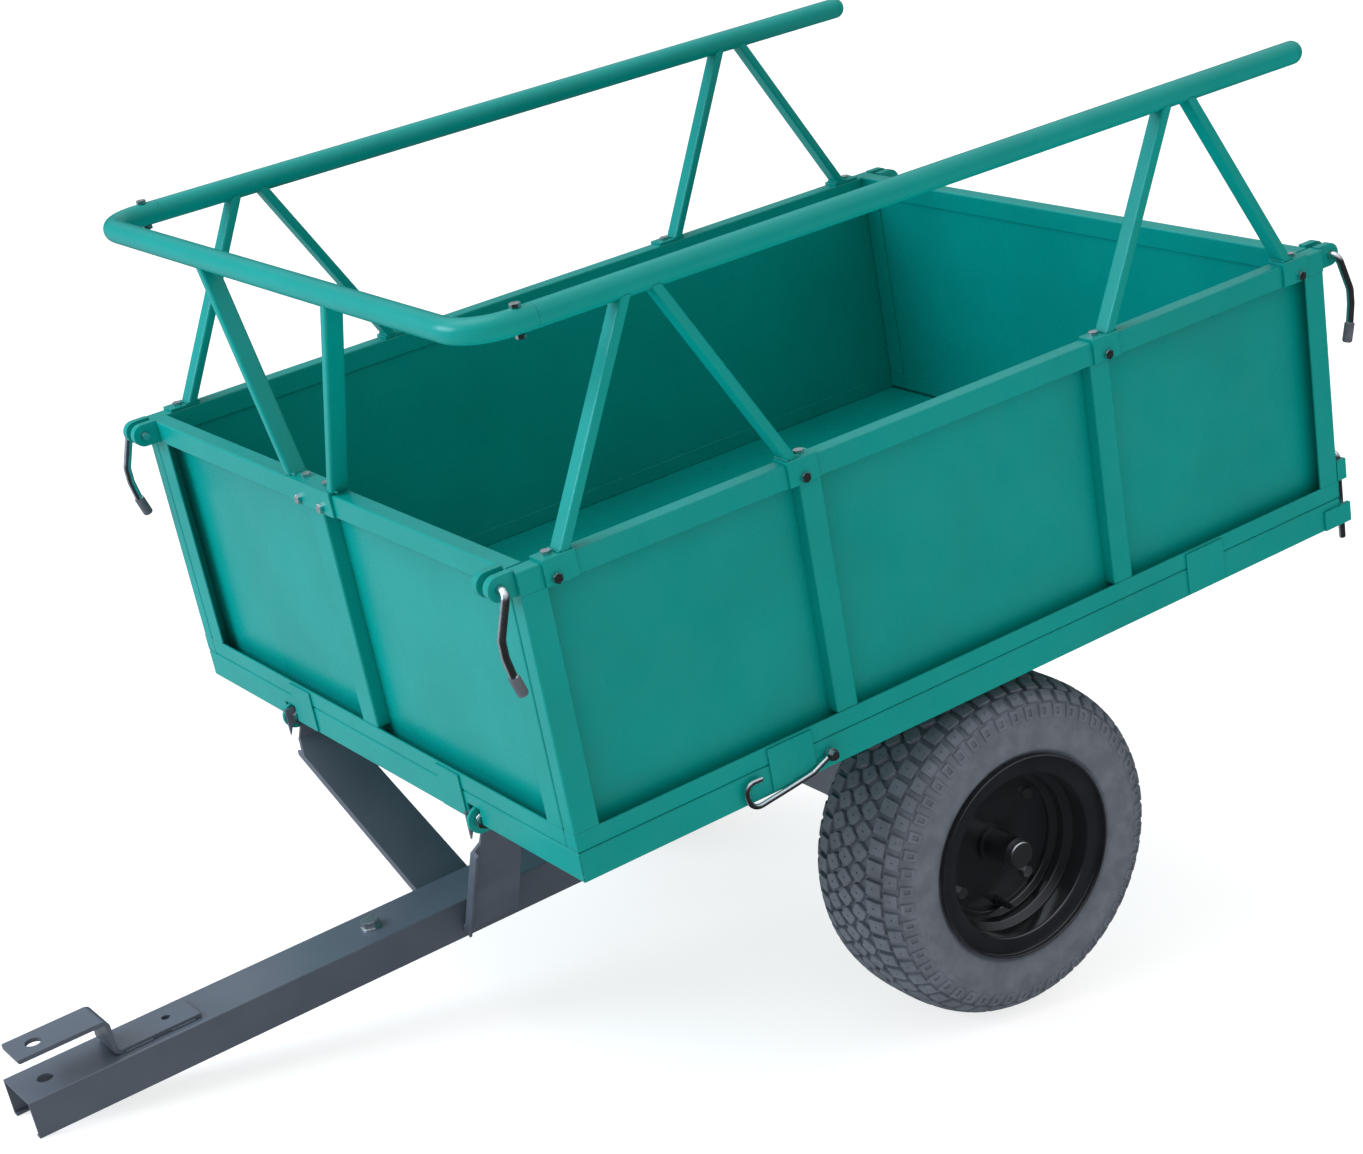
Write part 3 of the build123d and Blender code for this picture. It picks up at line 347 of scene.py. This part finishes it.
# ---------------------------------------------------------------------------------------------- tools
def clear_selection() -> None:
    """Deselect everything, so that the next operator acts on its own piece alone."""
    bpy.ops.object.select_all(action="DESELECT")


def take(obj: bpy.types.Object) -> None:
    """Select one object alone and make it the active one."""
    clear_selection()
    obj.select_set(True)
    bpy.context.view_layer.objects.active = obj


def drawn_line(name: str, points: Sequence[Vector], closed: bool = False) -> bpy.types.Object:
    """Draw a chain of edges by extruding one point along a route.

    Args:
        name: the new object's name.
        points: the route's points, in metres.
        closed: whether the last point joins the first.

    Returns:
        The new object, its chain selected.
    """
    clear_selection()
    bpy.ops.mesh.primitive_plane_add(size=MM, location=points[0])
    obj = bpy.context.object
    obj.name = obj.data.name = name
    bpy.ops.object.transform_apply(location=True)
    bpy.ops.object.mode_set(mode="EDIT")
    bpy.ops.mesh.merge(type="CENTER")
    for before, after in zip(points, points[1:]):
        bpy.ops.mesh.extrude_region_move(TRANSFORM_OT_translate={"value": after - before})
    bpy.ops.mesh.select_all(action="SELECT")
    if closed:
        bpy.ops.mesh.edge_face_add()
    bpy.ops.object.mode_set(mode="OBJECT")
    return obj


def joined(name: str, parts: Iterable[bpy.types.Object]) -> bpy.types.Object:
    """Join several objects into one of a given name."""
    members = list(parts)
    take(members[0])
    for other in members:
        other.select_set(True)
    if len(members) > 1:
        bpy.ops.object.join()
    obj = bpy.context.view_layer.objects.active
    obj.name = obj.data.name = name
    return obj


def finished(obj: bpy.types.Object, body: str, look: bpy.types.Material,
             smooth: float = 35.0) -> bpy.types.Object:
    """Settle a new piece: its place goes into its mesh, and it gets its finish and its body.

    Args:
        obj: the piece.
        body: the CAD body that it moves with.
        look: its material.
        smooth: edges flatter than this many degrees are shaded smooth.

    Returns:
        The piece.
    """
    take(obj)
    bpy.ops.object.transform_apply(location=True, rotation=True, scale=True)
    bpy.ops.object.shade_smooth_by_angle(angle=math.radians(smooth))
    obj.data.materials.clear()
    obj.data.materials.append(look)
    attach(obj, body)
    log.info("%s: %d faces on %s", obj.name, len(obj.data.polygons), body)
    return obj


def face_outward(obj: bpy.types.Object) -> None:
    """Turn every face of a piece to the outside."""
    take(obj)
    bpy.ops.object.mode_set(mode="EDIT")
    bpy.ops.mesh.select_all(action="SELECT")
    bpy.ops.mesh.normals_make_consistent(inside=False)
    bpy.ops.object.mode_set(mode="OBJECT")


class Cart:
    """The cart's level frame, in which it was drawn, and where that lies when it is parked on its nose."""

    def __init__(self) -> None:
        """Find the axle's centre from the frame."""
        low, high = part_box("axle")
        self.axle = (low + high) / 2
        self.turn = Matrix.Rotation(PARK_PITCH, 4, "X")

    def parked(self, offset_mm: Sequence[float]) -> Vector:
        """A point given in mm from the axle's centre with the cart level, in the row frame in metres."""
        return self.axle + self.turn @ (Vector(offset_mm) * MM)


# ---------------------------------------------------------------------------------------------- tyre
@dataclass(frozen=True)
class Casing:
    """The tyre's outer shape in section, as half of a rounded oblong, with its arc length from the crown.

    Attributes:
        radius: the crown's radius, in mm.
        half_width: half of the section's width.
        belly: the radius where the section is widest.
        shoulder: how square the shoulder is.
        sidewall: reach of the lower curve, from the belly towards the rim.
        rim_edge: the radius where the rim's flange takes over.
        step: spacing of the points that the section is worked out at.
    """

    radius: float = 203.0
    half_width: float = 82.0
    belly: float = 152.0
    shoulder: float = 2.9
    sidewall: float = 44.0
    rim_edge: float = 124.5
    step: float = 0.01

    def half_section(self) -> list[tuple[float, float, float]]:
        """Arc length, distance from the middle and radius of closely spaced points, crown to rim, in mm."""
        found: list[tuple[float, float, float]] = []
        travelled = 0.0
        count = int(1 / self.step)
        for quarter, reach, start in ((0, self.radius - self.belly, 0), (1, -self.sidewall, 1)):
            for i in range(start, count + 1):
                turn = math.pi / 2 * i / count
                if quarter == 1:
                    turn = math.pi / 2 * (1 - i / count)
                across = self.half_width * math.sin(turn) ** (2 / self.shoulder)
                radius = self.belly + reach * math.cos(turn) ** (2 / self.shoulder)
                if found:
                    travelled += math.hypot(across - found[-1][1], radius - found[-1][2])
                found.append((travelled, across, radius))
                if radius < self.rim_edge:
                    return found
        return found


class Tyre:
    """A garden tyre with flower blocks on its crown, oblong shoulder blocks and slit lugs below them.

    Its tread is drawn flat, one pitch long: u across from the crown, v round the tyre, w out of the casing.
    The pitch is repeated, and the ribbon is then rolled on to the casing.
    """

    pitches = 52
    depth_mm = 5.0
    sunk_mm = 0.8
    lug_edge_mm = 99.0

    def __init__(self, side: Side, look: bpy.types.Material) -> None:
        """Find the tyre's place from its CAD node.

        Args:
            side: which wheel it is on.
            look: its rubber.
        """
        self.side = side
        self.look = look
        self.low, self.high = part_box(f"tyre_{side.word}")
        self.centre = (self.low + self.high) / 2
        self.casing = Casing(radius=(self.high.z - self.low.z) / 2 / MM - 0.05,
                             half_width=(self.high.x - self.low.x) / 2 / MM - 0.1)
        self.section = self.casing.half_section()

    @property
    def pitch_mm(self) -> float:
        """Length of one pitch of the tread, measured round the crown."""
        return 2 * math.pi * self.casing.radius / self.pitches

    def section_at(self, u: float) -> tuple[float, float, float, float]:
        """Distance across, radius and outward normal of the casing's envelope at an arc length."""
        arc = min(abs(u), self.section[-1][0] - 0.01)
        low, high = 0, len(self.section) - 1
        while high - low > 1:
            middle = (low + high) // 2
            if self.section[middle][0] <= arc:
                low = middle
            else:
                high = middle
        (s0, x0, r0), (s1, x1, r1) = self.section[low], self.section[high]
        share = (arc - s0) / max(s1 - s0, 1e-9)
        run = max(math.hypot(x1 - x0, r1 - r0), 1e-9)
        way = 1 if u >= 0 else -1
        across, radius = way * (x0 + share * (x1 - x0)), r0 + share * (r1 - r0)
        return across, radius, way * (r0 - r1) / run, (x1 - x0) / run

    def rolled(self, u: float, v: float, w: float) -> Vector:
        """The place in the row frame of a point of the flat tread, all in mm."""
        across, radius, out_x, out_r = self.section_at(u)
        angle = v / self.casing.radius
        reach = (radius + out_r * w) * MM
        aside = (across + out_x * w) * MM
        return self.centre + Vector((aside, reach * math.cos(angle), reach * math.sin(angle)))

    def groove_floor(self, u: float) -> float:
        """Height of the casing at an arc length: below the envelope in the tread, near it on the sidewall."""
        if u < self.lug_edge_mm - 6:
            return -self.depth_mm + 2.4 * max(0.0, (u - 60) / 40)
        if u < self.lug_edge_mm + 2:
            return -3.1 + 2.2 * (u - self.lug_edge_mm + 6) / 8
        ring = 0.9 * math.exp(-(((u - self.lug_edge_mm - 6) / 1.1) ** 2))
        guard = 1.0 * math.exp(-(((u - 137) / 1.3) ** 2))
        return -0.9 + ring + guard

    def shell(self) -> bpy.types.Object:
        """The casing: its section drawn as a closed line, then spun round the axle."""
        end = self.section[-1][0]
        stations = [end * i / 64 for i in range(65)]
        outer = []
        for u in stations:
            across, radius, out_x, out_r = self.section_at(u)
            floor = self.groove_floor(u)
            outer.append((across + out_x * floor, radius + out_r * floor))
        bead = [(70.2, 121.0), (70.1, 103.0), (55.5, 102.2), (56.5, 112.0)]
        lining = [(66.0, 134.0), (70.0, 156.0), (60.0, 179.0), (34.0, 189.0)]
        half = outer + bead + lining
        ring = half + [(0.0, 190.5)] + [(-x, r) for x, r in reversed(half[1:])]
        points = [self.centre + Vector((x * MM, r * MM, 0)) for x, r in ring]
        obj = drawn_line("tyre_shell", points)
        take(obj)
        bpy.ops.object.mode_set(mode="EDIT")
        bpy.ops.mesh.select_all(action="SELECT")
        bpy.ops.mesh.remove_doubles(threshold=1e-6)
        bpy.ops.mesh.select_all(action="DESELECT")
        bpy.ops.object.mode_set(mode="OBJECT")
        ends = [v for v in obj.data.vertices if (v.co - points[0]).length < 1e-6
                or (v.co - points[-1]).length < 1e-6]
        for vertex in ends:
            vertex.select = True
        bpy.ops.object.mode_set(mode="EDIT")
        bpy.ops.mesh.edge_face_add()
        bpy.ops.mesh.select_all(action="SELECT")
        bpy.ops.mesh.spin(steps=self.pitches * 3, angle=2 * math.pi, center=self.centre, axis=(1, 0, 0))
        bpy.ops.mesh.select_all(action="SELECT")
        bpy.ops.mesh.remove_doubles(threshold=1e-5)
        bpy.ops.mesh.normals_make_consistent(inside=False)
        bpy.ops.object.mode_set(mode="OBJECT")
        return obj

    def block(self, outline: Sequence[tuple[float, float]], height: float, dot: float) -> bpy.types.Object:
        """One block of the flat tread: an outline drawn up with sloped sides, a soft edge and a pin hole.

        Args:
            outline: its corners as (u, v), in mm.
            height: how far it stands above the casing's envelope less the groove.
            dot: the pin hole's share of the block's size, or 0 for none.

        Returns:
            The block, in metres.
        """
        middle = Vector((sum(p[0] for p in outline), sum(p[1] for p in outline))) / len(outline)
        foot = -self.depth_mm - self.sunk_mm
        obj = drawn_line("block", [Vector((u, v, foot)) * MM for u, v in outline], closed=True)
        take(obj)
        bpy.ops.object.mode_set(mode="EDIT")
        bpy.ops.mesh.select_all(action="SELECT")
        top = height - self.depth_mm
        rises = [(top - 0.6 - foot, 0.93), (0.6, 0.93)]
        if dot:
            rises += [(0.0, dot), (-1.4, 0.9)]
        level = foot
        for rise, share in rises:
            level += rise
            bpy.ops.mesh.extrude_region_move(TRANSFORM_OT_translate={"value": (0, 0, rise * MM)})
            bpy.ops.transform.resize(value=(share, share, 1),
                                     center_override=(middle.x * MM, middle.y * MM, level * MM))
        bpy.ops.object.mode_set(mode="OBJECT")
        return obj

    def flower(self, u: float, v: float, across: float, along: float, lobes: int, turn: float
               ) -> list[tuple[float, float]]:
        """The outline of a lobed block about a middle, in mm."""
        corners = []
        for i in range(16):
            angle = 2 * math.pi * i / 16
            swell = 1 + 0.13 * math.cos(lobes * angle + turn)
            corners.append((u + across * swell * math.cos(angle), v + along * swell * math.sin(angle)))
        return corners

    def oblong(self, u0: float, u1: float, v0: float, v1: float, skew: float) -> list[tuple[float, float]]:
        """The outline of a shoulder block between two u and two v, its ends slanted, in mm."""
        steps = 4
        near = [(u0 + (u1 - u0) * i / steps, v0 + skew * i / steps) for i in range(steps + 1)]
        far = [(u1 + (u0 - u1) * i / steps, v1 + skew * (1 - i / steps)) for i in range(steps + 1)]
        return near + far

    def one_pitch(self) -> bpy.types.Object:
        """The blocks of one pitch, laid out flat."""
        pitch = self.pitch_mm
        blocks = [self.block(self.flower(0, 0, 11.6, 10.9, 4, 0.4), self.depth_mm, 0.12)]
        for way in (-1, 1):
            petals = self.flower(way * 22.5, pitch / 2, 11.4, 10.7, 4, way * 0.9)
            blocks.append(self.block(petals, self.depth_mm, 0.12))
            inner = self.oblong(way * 36, way * 58, -9.6, 9.2, way * 2.0)
            blocks.append(self.block(inner, self.depth_mm - 0.2, 0.1))
            outer = self.oblong(way * 60.5, way * 78, pitch / 2 - 9.4, pitch / 2 + 8.4, way * 2.0)
            blocks.append(self.block(outer, self.depth_mm - 0.6, 0.1))
            lug = self.oblong(way * 80.5, way * self.lug_edge_mm, -7.4, 7.4, way * 1.0)
            blocks.append(self.block(lug, self.depth_mm - 0.8, 0.5))
        return joined("tread", blocks)

    def tread(self) -> bpy.types.Object:
        """The whole tread: the pitch repeated round the tyre and rolled on to the casing."""
        obj = self.one_pitch()
        face_outward(obj)
        rows = obj.modifiers.new("round_the_tyre", "ARRAY")
        rows.use_relative_offset = False
        rows.use_constant_offset = True
        rows.constant_offset_displace = (0, self.pitch_mm * MM, 0)
        rows.count = self.pitches
        bpy.ops.object.modifier_apply(modifier=rows.name)
        for vertex in obj.data.vertices:
            vertex.co = self.rolled(*(vertex.co / MM))
        face_outward(obj)
        return obj

    def build(self) -> bpy.types.Object:
        """Make the tyre and put it in place of its CAD node."""
        obj = joined(f"treaded_tyre_{self.side.word}", [self.shell(), self.tread()])
        finished(obj, f"wheel_{self.side.word}", self.look)
        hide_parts(f"tyre_{self.side.word}")
        return obj


# ---------------------------------------------------------------------------------------------- hardware
@dataclass
class PullPin:
    """A bent pull pin with a dipped grip on its lower end; the frame's node, dressed in two finishes."""

    node: str
    grip_mm: float = 22.0

    def dress(self, metal: bpy.types.Material, vinyl: bpy.types.Material) -> None:
        """Give the rod its plating and the lower end its grip."""
        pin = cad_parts[self.node]
        pin.data.materials.clear()
        pin.data.materials.append(metal)
        pin.data.materials.append(vinyl)
        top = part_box(self.node)[0].z + self.grip_mm * MM
        for face in pin.data.polygons:
            face.material_index = 1 if face.center.z < top else 0


@dataclass
class LockLink:
    """A ring of wire centred on a lock bolt, at its lug's outer face.

    Attributes:
        side: which lock bolt.
        ring_mm: from the ring's middle to its wire's middle.
        wire_mm: the wire's radius.
        stand_off: how far the ring's middle lies out from the lug, as a share of the wire's radius.
    """

    side: Side
    ring_mm: float = 7.4
    wire_mm: float = 1.9
    stand_off: float = 1.3

    def build(self, look: bpy.types.Material) -> bpy.types.Object:
        """Make the ring round the bolt's centre."""
        low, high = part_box("lock_bolts")
        bolt = (low + high) / 2
        lug_low, lug_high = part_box("lock_lugs")
        face = lug_high.x if self.side is Side.LEFT else lug_low.x
        out = self.wire_mm * MM * self.stand_off * self.side.value
        clear_selection()
        bpy.ops.mesh.primitive_torus_add(major_radius=self.ring_mm * MM, minor_radius=self.wire_mm * MM,
                                         major_segments=28, minor_segments=12,
                                         location=(face + out, bolt.y, bolt.z), rotation=(0, math.pi / 2, 0))
        obj = bpy.context.object
        obj.name = obj.data.name = f"lock_link_{self.side.word}"
        return finished(obj, "bed", look, 50)


@dataclass
class WeldRun:
    """A run of weld between two points: overlapping ripples laid in the corner.

    Attributes:
        start_mm: one end, from the axle's centre with the cart level.
        end_mm: the other end.
        size_mm: the bead's radius.
        ripple_mm: spacing of the ripples.
    """

    start_mm: tuple[float, float, float]
    end_mm: tuple[float, float, float]
    size_mm: float = 2.2
    ripple_mm: float = 2.4

    def build(self, cart: Cart) -> bpy.types.Object:
        """Lay the ripples one by one along the run."""
        start, end = cart.parked(self.start_mm), cart.parked(self.end_mm)
        run = end - start
        count = max(2, round(run.length / (self.ripple_mm * MM)))
        facing = run.to_track_quat("Z", "Y").to_euler()
        clear_selection()
        bpy.ops.mesh.primitive_uv_sphere_add(segments=10, ring_count=6, radius=self.size_mm * MM,
                                             location=start, rotation=facing)
        ripple = bpy.context.object
        ripple.scale = (1, 1, 0.8)
        bpy.ops.object.transform_apply(location=True, rotation=True, scale=True)
        row = ripple.modifiers.new("along_the_run", "ARRAY")
        row.use_relative_offset = False
        row.use_constant_offset = True
        row.constant_offset_displace = run / count
        row.count = count + 1
        bpy.ops.object.modifier_apply(modifier=row.name)
        return ripple


class Welds:
    """The welds that show: the tip-lock arms' feet, the hitch plate, and the rack's struts.

    All places are in mm from the axle's centre with the cart level.
    """

    drawbar_side = 38.0
    drawbar_top = 37.0
    hitch_plate_edge = 25.5
    arm_weld_length = (-517.0, -450.0)
    hitch_weld_lengths = ((-930.0, -900.0), (-875.0, -850.0))
    strut_foot_top = 560.0
    strut_feet = (-497.0, -222.0, 216.0, 491.0)
    strut_half_depth = 7.0
    strut_across = (414.5, 434.5)
    front_strut_across = (38.0, 60.0)
    front_strut_foot = -550.0

    def chassis_runs(self) -> list[WeldRun]:
        """Runs on the drawbar: under and beside each arm's foot, and along the hitch plate."""
        runs = []
        near, far = self.arm_weld_length
        for way in (-1, 1):
            x = way * self.drawbar_side
            runs.append(WeldRun((x, near, 2.0), (x, far, 2.0), 2.4))
            runs.append(WeldRun((x, near - 1, 0.0), (x + way * 7, near - 3, 10.0), 2.2))
            edge = way * self.hitch_plate_edge
            for start, end in self.hitch_weld_lengths:
                runs.append(WeldRun((edge, start, self.drawbar_top), (edge, end, self.drawbar_top), 1.9))
        return runs

    def rack_runs(self) -> list[WeldRun]:
        """Short runs before and behind each side strut's foot, and one at each front strut's."""
        runs = []
        top = self.strut_foot_top
        for way in (-1, 1):
            near, far = (way * x for x in self.strut_across)
            for foot in self.strut_feet:
                for y in (foot - self.strut_half_depth, foot + self.strut_half_depth):
                    runs.append(WeldRun((near, y, top), (far, y, top), 1.5, 2.0))
            near, far = (way * x for x in self.front_strut_across)
            y = self.front_strut_foot
            runs.append(WeldRun((near, y, top), (far, y, top), 1.5, 2.0))
        return runs

    def build(self, cart: Cart, green: bpy.types.Material, graphite: bpy.types.Material) -> None:
        """Lay the chassis runs and the rack runs, each as one painted piece."""
        chassis = joined("drawbar_welds", [run.build(cart) for run in self.chassis_runs()])
        finished(chassis, "chassis", graphite, 60)
        rack = joined("strut_welds", [run.build(cart) for run in self.rack_runs()])
        finished(rack, "bed", green, 60)


# ---------------------------------------------------------------------------------------------- studio
class Studio:
    """A pale floor under soft light, and the camera."""

    floor_width = 80
    lens_mm = 70.64
    lens_shift = (-0.1343, 0.1768)
    camera_place = (2.5890, -1.6151, 1.3334)
    camera_turn_deg = (69.195, -0.08, 52.586)

    def floor(self) -> None:
        """Lay a wide matt floor, lit from below like a light table, that the gloss doesn't mirror."""
        clear_selection()
        bpy.ops.mesh.primitive_plane_add(size=self.floor_width, location=(0, 0, 0))
        floor = bpy.context.object
        floor.name = "studio_floor"
        made = blank_material("matt_white_floor")
        tree = made.node_tree
        place = add_node(tree, "ShaderNodeTexCoord").outputs["Object"]
        cloud = add_node(tree, "ShaderNodeTexNoise", {"Vector": place, "Scale": per_metre(900)})
        tone = add_node(tree, "ShaderNodeMix", {"Factor": cloud.outputs["Fac"], "A": linear("AEAEAE"),
                                                "B": linear("ABABAC")}, data_type="RGBA")
        shader = add_node(tree, "ShaderNodeBsdfPrincipled", {"Base Color": tone.outputs["Result"],
                                                             "Roughness": 0.9, "Specular IOR Level": 0.1,
                                                             "Emission Color": linear("FFFFFF"),
                                                             "Emission Strength": 0.74})
        add_node(tree, "ShaderNodeOutputMaterial", {"Surface": shader.outputs["BSDF"]})
        floor.data.materials.append(made)
        floor.visible_glossy = False

    def sky(self) -> None:
        """An even white surround, which gloss mirrors as a bright ceiling, a pale card and dark walls."""
        world = bpy.data.worlds.new("studio_surround")
        bpy.context.scene.world = world
        world.use_nodes = True
        tree = world.node_tree
        tree.nodes.clear()
        way = add_node(tree, "ShaderNodeTexCoord").outputs["Generated"]
        height = add_node(tree, "ShaderNodeSeparateXYZ", {"Vector": way}).outputs["Z"]
        overhead = add_node(tree, "ShaderNodeMapRange", {"Value": height, "From Min": 0.2, "From Max": 0.9,
                                                         "To Min": 0.02, "To Max": 1.3})
        facing = add_node(tree, "ShaderNodeVectorMath", {0: way, 1: (-0.73, -0.54, -0.42)},
                          operation="DOT_PRODUCT")
        card = add_node(tree, "ShaderNodeMapRange", {"Value": facing.outputs["Value"], "From Min": 0.62,
                                                     "From Max": 1.0, "To Min": 0.0, "To Max": 0.55})
        mirrored = add_node(tree, "ShaderNodeMath", {0: overhead.outputs["Result"],
                                                     1: card.outputs["Result"]}, operation="ADD")
        even = add_node(tree, "ShaderNodeBackground", {"Color": linear("FFFFFF"), "Strength": 0.82})
        shaped = add_node(tree, "ShaderNodeBackground", {"Color": linear("EEF6FF"),
                                                         "Strength": mirrored.outputs["Value"]})
        ray = add_node(tree, "ShaderNodeLightPath")
        both = add_node(tree, "ShaderNodeMixShader", {0: ray.outputs["Is Glossy Ray"],
                                                      1: even.outputs["Background"],
                                                      2: shaped.outputs["Background"]})
        add_node(tree, "ShaderNodeOutputWorld", {"Surface": both.outputs["Shader"]})

    def lamp(self, name: str, kind: str, energy: float, colour: str, place: Sequence[float],
             target: Sequence[float], size: float) -> None:
        """Hang one lamp.

        Args:
            name: its name.
            kind: Blender's lamp type.
            energy: its power.
            colour: sRGB hex.
            place: where it stands, in metres.
            target: what it points at.
            size: width in metres, or the angle in radians of a sun.
        """
        data = bpy.data.lights.new(name, kind)
        data.energy = energy
        data.color = linear(colour)[:3]
        if kind == "SUN":
            data.angle = size
        else:
            data.shape = "RECTANGLE"
            data.size = size
            data.size_y = size * 0.6
        lamp = bpy.data.objects.new(name, data)
        bpy.context.scene.collection.objects.link(lamp)
        lamp.location = place
        lamp.rotation_euler = (Vector(target) - Vector(place)).to_track_quat("-Z", "Y").to_euler()

    def camera(self) -> None:
        """Stand the camera in front, to the cart's left and above it."""
        data = bpy.data.cameras.new("camera")
        data.sensor_width = 36
        data.lens = self.lens_mm
        data.shift_x, data.shift_y = self.lens_shift
        data.clip_end = 200
        camera = bpy.data.objects.new("camera", data)
        bpy.context.scene.collection.objects.link(camera)
        camera.location = self.camera_place
        camera.rotation_euler = [math.radians(turn) for turn in self.camera_turn_deg]
        bpy.context.scene.camera = camera

    def build(self) -> None:
        """Set up the whole studio."""
        self.floor()
        self.sky()
        self.lamp("overhead_soft", "SUN", 1.0, "FFFFFF", (-1.0, -1.5, 4.0), (0, 0, 0), math.radians(50))
        self.lamp("front_soft", "AREA", 120, "CFE8FF", (-1.4, -3.6, 2.0), (0, -0.4, 0.5), 2.6)
        self.camera()
        view = bpy.context.scene.view_settings
        view.view_transform = "Standard"
        view.look = "None"


class Dresser:
    """Gives every CAD node that stays in view its finish."""

    def __init__(self) -> None:
        """Make each finish's material once."""
        self.looks = {slot: finish.material() for slot, finish in FINISH_OF_SLOT.items()}
        self.grip = VINYL_GRIP.material()

    def dress(self) -> None:
        """Dress the nodes by the record's slots, then the pull pins' grips."""
        for name, node in sorted(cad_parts.items()):
            slot = Slot(node.data.materials[0].name)
            node.data.materials.clear()
            node.data.materials.append(self.looks[slot])
            log.info("%s: %s", name, slot.value)
        for end in ("front", "rear"):
            for side in Side:
                PullPin(f"{end}_pin_{side.word}").dress(self.looks[Slot.ZINC], self.grip)


def main() -> None:
    """Build the studio and the pieces in order, and report each."""
    logging.basicConfig(level=logging.INFO, format="%(message)s")
    cart = Cart()
    studio = Studio()
    studio.build()
    dresser = Dresser()
    dresser.dress()
    for side in Side:
        Tyre(side, dresser.looks[Slot.TYRE]).build()
        LockLink(side).build(dresser.looks[Slot.ZINC])
    Welds().build(cart, dresser.looks[Slot.GREEN], dresser.looks[Slot.GRAPHITE])
    clear_selection()


if __name__ == "__main__":
    main()
